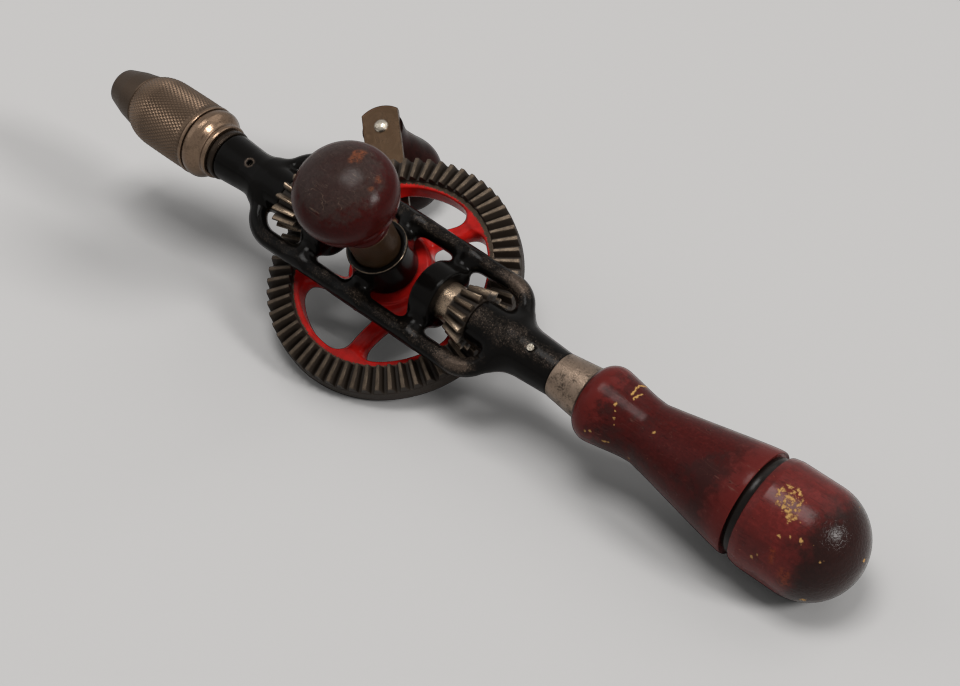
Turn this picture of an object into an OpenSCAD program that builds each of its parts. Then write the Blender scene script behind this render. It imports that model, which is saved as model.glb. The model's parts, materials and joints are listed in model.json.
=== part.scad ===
// Two-pinion hand drill lying on a bench: crank gear, spindle with three-jaw chuck, side knob, hollow handle.
// Every module is drawn in the drill's own axes: x runs along the spindle towards the handle, z along the
// gear axle towards the side knob, and the two axes cross at the origin. laid() then rests it on the bench.

/* [Bevel gears] */
// Teeth on the crank gear
gear_teeth = 62; // [50:2:72]
// Teeth on each pinion
pinion_teeth = 14; // [12:1:16]
// Radius of the crank gear at the outer ends of its teeth
gear_r = 52.5; // [50:0.5:56]
// Length of a gear tooth along the radius
gear_face = 10.1; // [8:0.1:12]
// Length of a pinion tooth along the spindle
pinion_face = 10; // [8:0.1:11]
// How far the pinions' large ends lie inside the outer ends of the gear teeth
pinion_inset = 2; // [1:0.1:3]
// Pressure angle of the teeth
pressure_angle = 20; // [18:0.5:22]
// Height of a gear tooth over the pitch line, in modules
gear_addendum = 0.8; // [0.7:0.05:0.85]
// Height of a pinion tooth over the pitch line, in modules
pinion_addendum = 1.1; // [0.95:0.05:1.15]
// Room between a tooth tip and the opposite root, in modules
root_room = 0.25; // [0.2:0.05:0.35]
// Play between the flanks at the outer ends
backlash = 0.3; // [0.2:0.05:0.5]
// Depth of the rim under the tooth roots
rim_depth = 6.3; // [4.5:0.1:8]
// Width of the plain lip inside the teeth
rim_lip = 3; // [2:0.1:4]
// Curved spokes of the gear
spokes = 5; // [4:1:6]
// Width of a spoke
spoke_w = 7.2; // [5:0.1:9]
// Thickness of a spoke
spoke_h = 6; // [4:0.1:7]
// Radius of a spoke's curve
spoke_bend_r = 40; // [36:1:46]
// Angle that a spoke's curve turns through
spoke_sweep = 45; // [42:1:48]
// Angle of the first spoke at the rim
spoke_angle = -4; // [-40:1:40]
// Radius of the gear hub
gear_hub_r = 17; // [16:0.1:18]
// Radius of the fillets between the spokes and the rim
rim_fillet = 8; // [5:0.5:9]
// Radius of the fillets between the spokes and the hub
hub_fillet = 7; // [4:0.5:8]

/* [Frame] */
// Half length of the open loop, to the middle of its end bar
loop_half = 62.4; // [60:0.2:68]
// Distance of each rail from the spindle axis
rail_y = 20; // [18.5:0.1:23]
// Radius of the rail bar
rail_r = 3.7; // [3:0.1:4.5]
// Radius of the loop's rounded corners
corner_r = 15; // [13:0.5:17]
// Radius of the neck that carries the spindle
neck_r = 9.4; // [9:0.1:10.5]
// Swell of the neck at its front face
neck_swell = 0.9; // [0.4:0.1:1.5]
// Length of the neck in front of the loop
neck_len = 25.9; // [24:0.1:36]
// Radius of the tail that carries the handle
tail_r = 9; // [8.5:0.1:9.6]
// Length of the tail behind the loop
tail_len = 28.5; // [24:0.1:32]
// Swell of the neck and tail where they run into the loop
root_swell = 2.6; // [1.5:0.1:3.5]
// Radius of the fillets between the loop and the neck and tail
loop_fillet = 10; // [6:0.5:12]
// Radius of the bearing rings beside the boss
ring_r = 12.5; // [11.5:0.1:13]
// Thickness of the bearing rings
ring_w = 10; // [8:0.2:11]
// Radius of the boss that carries the gear and the side knob
boss_r = 12.5; // [11.5:0.1:13.5]
// Height of the boss's top rim over the spindle axis
boss_top = 10.4; // [9:0.1:13]
// Depth of the boss under the spindle axis
boss_drop = 7.2; // [6:0.1:8]
// Radius of the arms from the boss to the rails
boss_arm_r = 4; // [3:0.1:5]
// Radius of the arms from the bearing rings to the rails
ring_arm_r = 3.2; // [2.5:0.1:4]
// Radius of the oil hole in the neck
oil_hole_r = 1.2; // [0.8:0.1:1.6]
// Distance of the oil hole from the neck's front face
oil_hole_set = 15.7; // [14:0.1:20]

/* [Spindle and axles] */
// Radius of the spindle
spindle_r = 6; // [5.4:0.1:6.4]
// Radius of the pinion hubs that turn in the bearing rings
pinion_hub_r = 8; // [7.6:0.1:8.6]
// Bare length of a pinion hub between its teeth and the bearing ring
hub_show = 6.2; // [5:0.1:7]
// Depth that a pinion hub reaches into its bearing ring
hub_seat = 8; // [5:0.2:9]
// Radius of the fixed axle of the rear pinion
axle_r = 4; // [3.4:0.1:4.6]
// How far the axle is driven past the middle of the loop's end bar
axle_past = 4.4; // [2:0.2:6]
// Radius of the cross pins in the drive pinion and the tail
cross_pin_r = 1.4; // [1:0.1:1.8]
// Thickness of the thrust collar behind the chuck
collar_w = 3.3; // [3:0.1:5]
// Radius of the thrust collar
collar_r = 11; // [10:0.1:12]
// Radius of the gear screw's shank and of the side knob's stud
stud_r = 5; // [4.4:0.1:5.6]
// Radius of the gear screw's head
screw_head_r = 9; // [8:0.1:10]
// Thickness of the gear screw's head
screw_head_h = 2.8; // [2:0.1:3.6]

/* [Crank] */
// Distance from the gear axle to the crank knob
crank_r = 78.7; // [74:0.1:86]
// Angle at which the crank is left
crank_angle = 137.1; // [0:0.1:360]
// Radius of the round eye of the crank
crank_eye_r = 15; // [13.5:0.1:16]
// Width of the crank strip
crank_w = 16; // [14:0.5:18]
// Thickness of the crank strip
crank_t = 2.2; // [1.6:0.1:3]
// Room between the gear rim and the crank strip
crank_gap = 2.6; // [1.5:0.1:4]
// Length of strip past the knob's pin
crank_end = 10.3; // [9:0.1:13]
// Radius of the round end of the strip
crank_end_r = 12; // [9:0.5:16]
// Distance of the crank's two rivets from the gear axle
rivet_set = 10.5; // [9.9:0.1:11]
// Radius of the crank rivets
rivet_r = 1.8; // [1.4:0.1:2.2]
// Length of the crank knob
crank_knob_len = 50.8; // [46:0.2:60]
// Largest radius of the crank knob
crank_knob_r = 16.5; // [15:0.1:19]
// Radius of the crank knob's neck
crank_neck_r = 9; // [8:0.1:10]
// Radius of the crank knob's pin
knob_pin_r = 2.4; // [2:0.1:3]
// Radius of the heads of the crank knob's pin
knob_pin_head_r = 3.2; // [2.8:0.1:4]

/* [Side knob] */
// Height of the knob's top over the spindle axis
side_knob_top = 66; // [60:0.5:74]
// Largest radius of the side knob
side_knob_r = 20.4; // [18.5:0.1:22]
// Radius of the side knob's neck at the ferrule
side_neck_r = 10.3; // [9.8:0.1:11.5]
// Length of the side knob's wood over its ferrule
side_knob_len = 40.2; // [36:0.2:44]
// Outer radius of the side ferrule
side_ferrule_r = 9.7; // [9.2:0.1:10.2]
// Wall of the side ferrule
side_ferrule_wall = 1.2; // [0.8:0.1:1.6]
// Depth of the seat in the boss that the ferrule stands in
boss_seat = 2; // [1:0.1:3]

/* [Handle] */
// Length of the handle ferrule
ferrule_len = 15.1; // [13:0.1:20]
// Radius of the handle ferrule at the frame
ferrule_r1 = 9.1; // [8.8:0.1:9.6]
// Radius of the handle ferrule at the wood
ferrule_r2 = 10.9; // [10.2:0.1:11.6]
// Wall of the handle ferrule
ferrule_wall = 1.2; // [0.8:0.1:1.6]
// Length of the wooden grip behind the ferrule
grip_len = 72.6; // [66:0.1:84]
// Radius of the bulge behind the ferrule
bulge_r = 15.3; // [13.5:0.1:16.5]
// Radius of the grip's waist
waist_r = 12.6; // [12.2:0.1:13.6]
// Radius of the grip at the groove
grip_end_r = 20.6; // [19:0.1:21.5]
// Width of the groove between the grip and the cap
groove_w = 4; // [2.5:0.1:5]
// Depth of the groove
groove_d = 1.6; // [1:0.1:2.5]
// Radius of the end cap
cap_r = 21.6; // [20.5:0.1:23]
// Length of the end cap behind the groove
cap_len = 40.4; // [36:0.2:48]
// Length of the cap's rounded end
dome_len = 21; // [17:0.5:26]
// Radius of the hollow in the handle
magazine_r = 8.8; // [8:0.1:9.4]
// Depth of the hollow from the cap
magazine_len = 58; // [45:0.5:60]
// Length of the cap's spigot in the hollow
spigot_len = 13; // [10:0.5:18]
// Radius of the steel tang that joins the handle to the frame
tang_r = 5.4; // [4.6:0.1:6]
// Length of the tang in the tail
tang_seat = 18; // [15:0.5:19]
// Length of the tang in the wood
tang_len = 24; // [20:0.5:27]
// Distance of the tang pin from the end of the tail
tang_pin_set = 12; // [8:0.1:14]

/* [Chuck] */
// Radius of the chuck sleeve's barrel
sleeve_r = 15.4; // [14.8:0.1:16.5]
// Length of the chuck sleeve
sleeve_len = 52.8; // [49:0.2:58]
// Length of the sleeve's nose cone
nose_len = 16.6; // [14:0.1:19]
// Radius of the nose at its front edge
nose_r = 8.4; // [7.6:0.1:9]
// Radius of the nose where it meets the barrel
nose_back_r = 12.3; // [12:0.1:13.2]
// Radius of the mouth inside the nose
mouth_r = 6; // [5.7:0.1:6.3]
// Slope of the cone that the jaws slide on
jaw_slope = 17; // [15:0.5:18]
// Radius of the threaded core inside the sleeve
core_r = 11.3; // [10.6:0.1:11.6]
// Length of the polished ring behind the sleeve
chuck_ring_len = 10.4; // [8:0.2:13]
// Radius of the polished ring's rear edge
chuck_ring_back_r = 12; // [11.4:0.1:12.8]
// Width of the dark groove between the sleeve and the ring
sleeve_groove = 0.6; // [0.4:0.1:1.2]
// Radius of the largest shank the jaws hold
grip_r = 4.76; // [4.2:0.02:4.9]
// Length of the jaws' gripping faces
grip_face = 13; // [11:0.2:14]
// Radius of a jaw's round back
jaw_r = 3.5; // [3.2:0.1:3.8]
// Travel of the jaws along the cone
jaw_travel = 12.2; // [10:0.1:12.5]
// Depth of the spindle's thread in the chuck body
spindle_seat = 20; // [16:0.5:26]

/* [Fits] */
// Radial room of a running fit
run_gap = 0.05; // [0.03:0.01:0.09]
// Radial room of a driven or screwed fit
set_gap = 0.02; // [0.01:0.01:0.04]
// Room between faces that pass or meet end to end
end_gap = 0.3; // [0.2:0.05:0.5]

/* [Resting place] */
// Roll about the spindle, propped up by the crank knob
lie_roll = 26.75; // [20:0.05:34]
// Pitch of the spindle, handle end down
lie_pitch = 5.75; // [3:0.05:9]
// Distance of the axes' crossing from the middle of the drill, along the bench
rest_x = -33; // [-60:0.1:0]
// Distance of the axes' crossing from the middle of the drill, across the bench
rest_y = -25.3; // [-60:0.1:0]

/* [Hidden] */
$fn = 64;

// Small edges, steps and overshoots
cut_past = 1;
core_clear = 0.6;
jaws = 3;
jaw_slot = 4;
jaw_slot_in = 1;
jaw_recess = 0.8;
jaw_meet = 0.1;
jaw_relief = 1.5;
nose_edge = 0.4;
sleeve_edge = 0.5;
shoulder_len = 10;
ring_edge = 0.3;
ring_step = 1.5;
wood_lip = 1;
bulge_round = 0.9;
waist_rise = 0.9;
grip_edge = 0.5;
cap_edge = 0.8;
cap_edge_len = 3;
neck_flare = 0.6;
bead_r = 1.7;
spoke_clear = 1;
fillet_in = 1.2;
fillet_step = 0.3;
fillet_trim = 0.15;

// Bevel gears: every tooth line runs through the crossing of the axes, so heights are slopes of the radius
module_slope = 2 / gear_teeth;
pitch_slope = pinion_teeth / gear_teeth;
gear_root_slope = pitch_slope + (pinion_addendum + root_room) * module_slope;
pinion_root = pinion_teeth / 2 - gear_addendum - root_room;
pinion_tip = pinion_teeth / 2 + pinion_addendum;
pinion_base = pinion_teeth / 2 * cos(pressure_angle);
flank_play = backlash / 4 / (gear_r * module_slope);
tooth_embed = 0.3;
rim_proud = 0.2;
lip_drop = 0.6;
lip_slant = 1;
gear_in = gear_r - gear_face;
rim_r = gear_r + rim_proud;
rim_in = gear_in - rim_lip;
rim_edge = 1;
rim_z = -gear_r * gear_root_slope - rim_depth;
lip_z = -gear_in * gear_root_slope - lip_drop;
pinion_out = gear_r - pinion_inset;
pinion_in = pinion_out - pinion_face;
flank_steps = 4;

// Stations along the spindle
ring_face = pinion_in - hub_show;
ring_back = ring_face - ring_w;
hub_end = ring_face - hub_seat;
pinion_pin_x = -(ring_face + pinion_in) / 2;
bore_face = pinion_out + end_gap;
corner_x = loop_half - corner_r;
corner_y = rail_y - corner_r;
neck_front = -loop_half - neck_len;
tail_end = loop_half + tail_len;
axle_end = loop_half + axle_past;
tang_start = tail_end - tang_seat;
tail_shoulder_r = neck_r + root_swell / 3;
tail_shoulder_x = loop_half + 3 * rail_r;
tang_pin_half = tail_r + (tail_shoulder_r - tail_r) * tang_pin_set / (tail_end - tail_shoulder_x);
collar_front = neck_front - end_gap - collar_w;
ring_rear_x = collar_front - end_gap;
ring_front_x = ring_rear_x - chuck_ring_len;
sleeve_back = ring_front_x - sleeve_groove;
sleeve_front = sleeve_back - sleeve_len;
core_front = sleeve_front + (core_r + core_clear - mouth_r) / tan(jaw_slope);
jaw_front = sleeve_front + jaw_recess;
jaw_back = core_front + jaw_slot - end_gap;
grip_start = tail_end + set_gap;
wood_start = grip_start + ferrule_len;
grip_end = wood_start + grip_len;
cap_start = grip_end + set_gap;
cap_back = cap_start + groove_w + cap_len;
magazine_end = grip_end - magazine_len;

// Heights along the gear axle
hub_top = -boss_drop - end_gap;
crank_top = rim_z - crank_gap;
crank_bottom = crank_top - crank_t;
spoke_top = -ring_r - spoke_clear;
stud_meet = 0.7;
ferrule_bottom = boss_top - boss_seat + set_gap;
side_wood_z = side_knob_top - side_knob_len;
crank_knob_z = crank_bottom - end_gap;
crank_knob_end = crank_knob_z - crank_knob_len;
pin_recess = 1.2 * knob_pin_head_r;

// Height of the axes' crossing over the bench, where the gear rim touches it
lean = cos(lie_roll) * cos(lie_pitch);
rest_z = (rim_r - rim_edge) * sqrt(1 - lean * lean) - rim_z * lean;

japan_black = [0.08, 0.08, 0.08];
gear_red = [0.72, 0.1, 0.07];
bare_steel = [0.55, 0.52, 0.48];
brown_steel = [0.42, 0.36, 0.3];
red_wood = [0.36, 0.06, 0.06];
dark_wood = [0.24, 0.06, 0.07];

// One point of a smooth curve between b and c
function between(a, b, c, d, t) =
    (2 * b + (c - a) * t + (2 * a - 5 * b + 4 * c - d) * t * t + (3 * b - a - 3 * c + d) * t * t * t) / 2;

// A smooth curve through the given points
function smooth(p, steps = 6) = concat(
    [for (i = [0 : len(p) - 2], k = [0 : steps - 1])
        between(p[max(i - 1, 0)], p[i], p[i + 1], p[min(i + 2, len(p) - 1)], k / steps)],
    [p[len(p) - 1]]);

// Quarter of an ellipse from [r, start] to [0, start + length]
function dome(r, start, length, steps = 12) =
    [for (k = [0 : steps]) [r * cos(90 * k / steps), start + length * sin(90 * k / steps)]];

// Involute of an angle in degrees
function involute(a) = tan(a) * 180 / PI - a;

// Half angle of a pinion tooth at a radius in modules
function pinion_half(r) =
    90 / pinion_teeth - flank_play * 360 / PI / pinion_teeth + involute(pressure_angle)
    - involute(acos(min(1, pinion_base / r)));

module laid() {
    translate([rest_x, rest_y, rest_z])
        rotate([lie_roll, lie_pitch, 0])
            children();
}

// Turned solid on the spindle axis, drawn as [radius, x]
module turned(points) {
    rotate([0, 90, 0])
        rotate_extrude()
            polygon(points);
}

module rod(x1, x2, r) {
    translate([x1, 0, 0])
        rotate([0, 90, 0])
            cylinder(h = x2 - x1, r = r);
}

module post(z1, z2, r) {
    translate([0, 0, z1])
        cylinder(h = z2 - z1, r = r);
}

module cross_bar(x, length, r) {
    translate([x, length, 0])
        rotate([90, 0, 0])
            cylinder(h = 2 * length, r = r);
}

// A tooth whose outline shrinks towards the crossing of the axes; ring points are given at both ends
module bevel_tooth(near, far) {
    n = len(near);
    polyhedron(
        points = concat(near, far),
        faces = concat(
            [[for (i = [0 : n - 1]) i], [for (i = [n - 1 : -1 : 0]) n + i]],
            [for (i = [0 : n - 1]) [i, n + i, n + (i + 1) % n, (i + 1) % n]]));
}

// Outline of a gear tooth at radius r, standing on the rim at x = r
function gear_tooth(r) = let (
    size = r * module_slope,
    foot = -pinion_addendum - root_room - tooth_embed,
    half_foot = PI / 4 - flank_play - foot * tan(pressure_angle),
    half_tip = PI / 4 - flank_play - gear_addendum * tan(pressure_angle))
    [for (c = [[-half_foot, foot], [half_foot, foot], [half_tip, gear_addendum], [-half_tip, gear_addendum]])
        [r, c[0] * size, c[1] * size - r * pitch_slope]];

// Outline of a pinion tooth at distance x along the spindle, pointing down
function pinion_tooth(x) = let (
    size = x * module_slope,
    radii = [for (i = [0 : flank_steps]) pinion_base + (pinion_tip - pinion_base) * i / flank_steps],
    foot = pinion_root - tooth_embed,
    flank = concat([[foot, pinion_half(pinion_base)]], [for (r = radii) [r, pinion_half(r)]]),
    last = len(flank) - 1,
    outline = concat([for (i = [0 : last]) [flank[i][0], -flank[i][1]]],
                     [for (i = [last : -1 : 0]) flank[i]]))
    [for (c = outline) [x, c[0] * sin(c[1]) * size, -c[0] * cos(c[1]) * size]];

module pinion(bore_r) {
    difference() {
        union() {
            turned([[0, hub_end], [pinion_hub_r, hub_end], [pinion_hub_r, pinion_in - tooth_embed],
                    [pinion_in * pinion_root * module_slope, pinion_in],
                    [pinion_out * pinion_root * module_slope, pinion_out], [0, pinion_out]]);
            for (i = [0 : pinion_teeth - 1])
                rotate([i * 360 / pinion_teeth, 0, 0])
                    bevel_tooth(pinion_tooth(pinion_in + tooth_embed),
                                pinion_tooth(pinion_out - tooth_embed));
        }
        rod(hub_end - cut_past, pinion_out + cut_past, bore_r);
    }
}

module loop() {
    for (side = [-1, 1]) {
        translate([0, side * rail_y, 0])
            rod(-corner_x, corner_x, rail_r);
        for (end = [-1, 1])
            translate([end * corner_x, side * corner_y, 0])
                mirror([end < 0 ? 1 : 0, 0, 0])
                    mirror([0, side < 0 ? 1 : 0, 0])
                        rotate_extrude(angle = 90)
                            translate([corner_r, 0])
                                circle(r = rail_r);
    }
}

// Flat fillets that run the loop's corners into the neck and the tail
module loop_fillets() {
    outer = corner_r + rail_r;
    y = neck_r + loop_fillet;
    x = corner_x + sqrt(pow(outer + loop_fillet, 2) - pow(y - corner_y, 2));
    low = neck_r - fillet_in;
    inner = outer - fillet_in;
    reach = inner / (outer + loop_fillet);
    for (end = [0, 1], side = [0, 1])
        mirror([end, 0, 0])
            mirror([0, side, 0])
                linear_extrude(height = rail_r, center = true)
                    difference() {
                        polygon([[x, low], [x, y],
                                 [corner_x + (x - corner_x) * reach, corner_y + (y - corner_y) * reach],
                                 [corner_x + sqrt(inner * inner - pow(low - corner_y, 2)), low]]);
                        translate([x, y])
                            circle(r = loop_fillet);
                    }
}

// A flat web with hollow sides that fillets an arm into its ring or boss and into both rails
module arm_fillets(x, hub_r, arm_r) {
    hollow = (rail_y - rail_r - hub_r) / 2;
    half = arm_r + hollow;
    for (side = [0, 1])
        mirror([0, side, 0])
            linear_extrude(height = arm_r, center = true)
                difference() {
                    translate([x - half, hub_r - 2 * fillet_in])
                        square([2 * half, rail_y - hub_r + 2 * fillet_in]);
                    for (edge = [-1, 1])
                        translate([x + edge * half, hub_r + hollow])
                            circle(r = hollow);
                }
}

module frame() {
    color(japan_black)
        difference() {
            union() {
                loop();
                loop_fillets();
                arm_fillets(0, boss_r, boss_arm_r);
                arm_fillets((ring_back + ring_face) / 2, ring_r, ring_arm_r);
                arm_fillets(-(ring_back + ring_face) / 2, ring_r, ring_arm_r);
                turned([[0, neck_front], [neck_r + neck_swell, neck_front],
                        [neck_r, neck_front + neck_len / 2],
                        [neck_r, -loop_half - 2 * rail_r], [neck_r + root_swell, -loop_half],
                        [neck_r, -loop_half + 2 * rail_r], [neck_r, -bore_face], [0, -bore_face]]);
                turned([[0, bore_face], [neck_r, bore_face], [neck_r, loop_half - 2 * rail_r],
                        [neck_r + root_swell, loop_half + rail_r], [tail_shoulder_r, tail_shoulder_x],
                        [tail_r, tail_end], [0, tail_end]]);
                for (end = [0, 180])
                    rotate([0, 0, end]) {
                        rod(ring_back, ring_face, ring_r);
                        cross_bar((ring_back + ring_face) / 2, rail_y, ring_arm_r);
                    }
                post(-boss_drop, boss_top, boss_r);
                cross_bar(0, rail_y, boss_arm_r);
            }
            rod(neck_front - cut_past, -bore_face + cut_past, spindle_r + run_gap);
            for (end = [0, 180])
                rotate([0, 0, end])
                    rod(hub_end - end_gap, ring_face + cut_past, pinion_hub_r + run_gap);
            rod(bore_face - cut_past, axle_end + end_gap, axle_r + set_gap);
            rod(tang_start - end_gap, tail_end + cut_past, tang_r + set_gap);
            translate([tail_end - tang_pin_set, 0, 0])
                post(-2 * tail_r, 2 * tail_r, cross_pin_r + set_gap);
            post(-boss_drop - cut_past, boss_top + cut_past, stud_r + run_gap);
            post(boss_top - boss_seat, boss_top + cut_past, side_ferrule_r + end_gap);
            translate([neck_front + oil_hole_set, 0, 0])
                post(0, 2 * neck_r, oil_hole_r);
        }
}

module spindle() {
    color(bare_steel)
        difference() {
            rod(ring_rear_x - spindle_seat, -hub_end, spindle_r);
            cross_bar(pinion_pin_x, 2 * spindle_r, cross_pin_r + set_gap);
        }
}

module drive_pinion() {
    color(bare_steel)
        difference() {
            rotate([0, 0, 180])
                pinion(spindle_r + set_gap);
            cross_bar(pinion_pin_x, 2 * pinion_hub_r, cross_pin_r + set_gap);
        }
}

module drive_pinion_pin() {
    color(brown_steel)
        cross_bar(pinion_pin_x, pinion_hub_r, cross_pin_r);
}

module idler_pinion() {
    color(bare_steel)
        pinion(axle_r + run_gap);
}

module idler_axle() {
    color(brown_steel)
        rod(hub_end, axle_end, axle_r);
}

module thrust_collar() {
    color(brown_steel)
        turned([[spindle_r + set_gap, collar_front], [collar_r - collar_w / 6, collar_front],
                [collar_r, collar_front + collar_w / 3], [collar_r, collar_front + 2 * collar_w / 3],
                [collar_r - collar_w / 6, collar_front + collar_w],
                [spindle_r + set_gap, collar_front + collar_w]]);
}

// Section of a spoke, chamfered along its upper edges
module spoke_section() {
    bevel = spoke_w / 4;
    polygon([[-spoke_w / 2, spoke_top - spoke_h], [spoke_w / 2, spoke_top - spoke_h],
             [spoke_w / 2, spoke_top - bevel], [spoke_w / 2 - bevel, spoke_top],
             [bevel - spoke_w / 2, spoke_top], [-spoke_w / 2, spoke_top - bevel]]);
}

// A spoke leaves the rim along the radius and sweeps sideways into the hub
module spoke() {
    translate(spoke_middle)
        rotate([0, 0, -90 - spoke_sweep])
            rotate_extrude(angle = spoke_sweep)
                translate([spoke_bend_r, 0])
                    spoke_section();
}

// Middle of a spoke's curve, seen from the gear axle
spoke_middle = [rim_in + rim_lip / 2, spoke_bend_r];

// Crossing of a circle round the axle with one round the middle of a spoke's curve, on the spoke's own side
function crossing(round_axle, round_middle) = let (
    d = norm(spoke_middle),
    along = (pow(round_axle, 2) - pow(round_middle, 2) + d * d) / (2 * d),
    off = sqrt(pow(round_axle, 2) - along * along))
    [(spoke_middle[0] * along + spoke_middle[1] * off) / d,
     (spoke_middle[1] * along - spoke_middle[0] * off) / d];

// Fillet between one side of a spoke (1 outside its curve, -1 inside) and the rim (way -1) or hub (way 1)
module spoke_fillet(ring_r, way, side, fillet) {
    side_r = spoke_bend_r + side * spoke_w / 2;
    middle = crossing(ring_r + way * fillet, side_r + side * fillet);
    to_ring = -way * middle / norm(middle);
    to_side = side * (spoke_middle - middle) / norm(spoke_middle - middle);
    difference() {
        polygon([middle, middle + (to_ring + fillet_trim * to_side) * (fillet + fillet_in),
                 crossing(ring_r - way * fillet_in, side_r - side * fillet_in),
                 middle + (to_side + fillet_trim * to_ring) * (fillet + fillet_in)]);
        translate(middle)
            circle(r = fillet);
    }
}

// Runs the end of a spoke on, straight into the round of the hub
module spoke_heel() {
    heel_r = norm(spoke_middle) - spoke_bend_r + spoke_w / 2 - fillet_step;
    turn = acos(gear_hub_r / heel_r);
    rotate(atan2(spoke_middle[1], spoke_middle[0]))
        polygon([[gear_hub_r / 2, -fillet_in], [heel_r, -fillet_in], [heel_r, 0],
                 [(gear_hub_r - fillet_step) * cos(turn), (gear_hub_r - fillet_step) * sin(turn)],
                 [gear_hub_r / 2 * cos(turn), gear_hub_r / 2 * sin(turn)]]);
}

// Flat web of all the fillets and heels, a little thinner than the spokes
module spoke_web() {
    translate([0, 0, spoke_top - spoke_h + fillet_step])
        linear_extrude(height = spoke_h - spoke_w / 4 - 2 * fillet_step)
            for (i = [0 : spokes - 1])
                rotate(spoke_angle + i * 360 / spokes) {
                    spoke_fillet(rim_in, -1, 1, rim_fillet);
                    spoke_fillet(rim_in, -1, -1, rim_fillet);
                    spoke_fillet(gear_hub_r, 1, 1, hub_fillet);
                    spoke_heel();
                }
}

module drive_gear() {
    color(gear_red)
        difference() {
            union() {
                rotate_extrude()
                    polygon([[rim_in, rim_z], [rim_r - rim_edge, rim_z], [rim_r, rim_z + rim_edge],
                             [rim_r, -rim_r * gear_root_slope], [gear_in, -gear_in * gear_root_slope],
                             [gear_in - lip_slant, lip_z], [rim_in, lip_z]]);
                for (i = [0 : gear_teeth - 1])
                    rotate([0, 0, (i + 0.5) * 360 / gear_teeth])
                        bevel_tooth(gear_tooth(gear_in), gear_tooth(gear_r));
                for (i = [0 : spokes - 1])
                    rotate([0, 0, spoke_angle + i * 360 / spokes])
                        spoke();
                spoke_web();
                post(crank_top, hub_top, gear_hub_r);
            }
            post(crank_top - cut_past, hub_top + cut_past, stud_r + run_gap);
            crank_rivet_places()
                post(crank_top - cut_past, crank_top + rim_depth + end_gap, rivet_r + set_gap);
        }
}

module gear_screw() {
    color(brown_steel) {
        post(crank_bottom - end_gap, stud_meet, stud_r);
        difference() {
            post(crank_bottom - end_gap - screw_head_h, crank_bottom - end_gap, screw_head_r);
            translate([0, 0, crank_bottom - end_gap - screw_head_h])
                cube([2 * screw_head_r + cut_past, screw_head_r / 5, screw_head_h], center = true);
        }
    }
}

// The crank's two rivets sit either side of the axle, along the strip
module crank_rivet_places() {
    for (side = [-1, 1])
        rotate([0, 0, crank_angle])
            translate([side * rivet_set, 0, 0])
                children();
}

module crank_arm() {
    tip = crank_r + crank_end;
    color(brown_steel)
        difference() {
            translate([0, 0, crank_bottom])
                linear_extrude(height = crank_t)
                    rotate(crank_angle)
                        difference() {
                            union() {
                                circle(r = crank_eye_r);
                                translate([0, -crank_w / 2])
                                    square([tip - crank_end_r, crank_w]);
                                intersection() {
                                    translate([0, -crank_w / 2])
                                        square([tip, crank_w]);
                                    translate([tip - crank_end_r, 0])
                                        circle(r = crank_end_r);
                                }
                            }
                            translate([crank_r, 0])
                                circle(r = knob_pin_r + set_gap);
                        }
            post(crank_bottom - cut_past, crank_top + cut_past, stud_r + run_gap);
            crank_rivet_places()
                post(crank_bottom - cut_past, crank_top + cut_past, rivet_r + set_gap);
        }
}

module crank_rivets() {
    color(bare_steel)
        crank_rivet_places()
            post(crank_bottom, crank_top + rim_depth, rivet_r);
}

module on_crank() {
    rotate([0, 0, crank_angle])
        translate([crank_r, 0, 0])
            children();
}

module crank_knob() {
    profile = smooth([[crank_neck_r, crank_knob_z], [crank_neck_r, crank_knob_z - 0.2 * crank_knob_len],
                      [0.75 * crank_knob_r, crank_knob_z - 0.42 * crank_knob_len],
                      [0.97 * crank_knob_r, crank_knob_z - 0.62 * crank_knob_len],
                      [crank_knob_r, crank_knob_z - 0.76 * crank_knob_len],
                      [0.86 * crank_knob_r, crank_knob_z - 0.92 * crank_knob_len],
                      [0.5 * crank_knob_r, crank_knob_end]]);
    color(dark_wood)
        on_crank()
            difference() {
                rotate_extrude()
                    polygon(concat([[0, crank_knob_z]], profile, [[0, crank_knob_end]]));
                post(crank_knob_end - cut_past, crank_knob_z + cut_past, knob_pin_r + run_gap);
                post(crank_knob_end - cut_past, crank_knob_end + pin_recess, knob_pin_head_r + end_gap);
            }
}

module crank_knob_pin() {
    head_h = pin_recess / 2;
    color(bare_steel)
        on_crank() {
            post(crank_knob_end + pin_recess - end_gap - head_h, crank_top + set_gap, knob_pin_r);
            post(crank_knob_end + pin_recess - end_gap - head_h, crank_knob_end + pin_recess - end_gap,
                 knob_pin_head_r);
            rotate_extrude()
                polygon(concat([[0, crank_top + set_gap]],
                               dome(knob_pin_head_r, crank_top + set_gap, head_h, 6)));
        }
}

module side_knob() {
    tenon_r = side_ferrule_r - side_ferrule_wall - set_gap;
    brim = side_knob_top - 0.36 * side_knob_len;
    bead = [for (k = [0 : 6]) [side_neck_r - bead_r + bead_r * sin(30 * k),
                               side_wood_z + bead_r - bead_r * cos(30 * k)]];
    profile = smooth([[side_neck_r - bead_r, side_wood_z + 2 * bead_r],
                      [side_neck_r + neck_flare, side_wood_z + 0.2 * side_knob_len],
                      [0.73 * side_knob_r, side_wood_z + 0.32 * side_knob_len],
                      [0.9 * side_knob_r, side_wood_z + 0.42 * side_knob_len],
                      [0.985 * side_knob_r, side_wood_z + 0.54 * side_knob_len],
                      [side_knob_r, brim]]);
    color(dark_wood)
        difference() {
            union() {
                rotate_extrude()
                    polygon(concat([[0, side_wood_z]], bead, profile,
                                   dome(side_knob_r, brim, side_knob_top - brim)));
                post(ferrule_bottom, side_wood_z + end_gap, tenon_r);
            }
            post(ferrule_bottom - cut_past, side_wood_z + side_knob_len / 2 + end_gap, stud_r + set_gap);
        }
}

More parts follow.
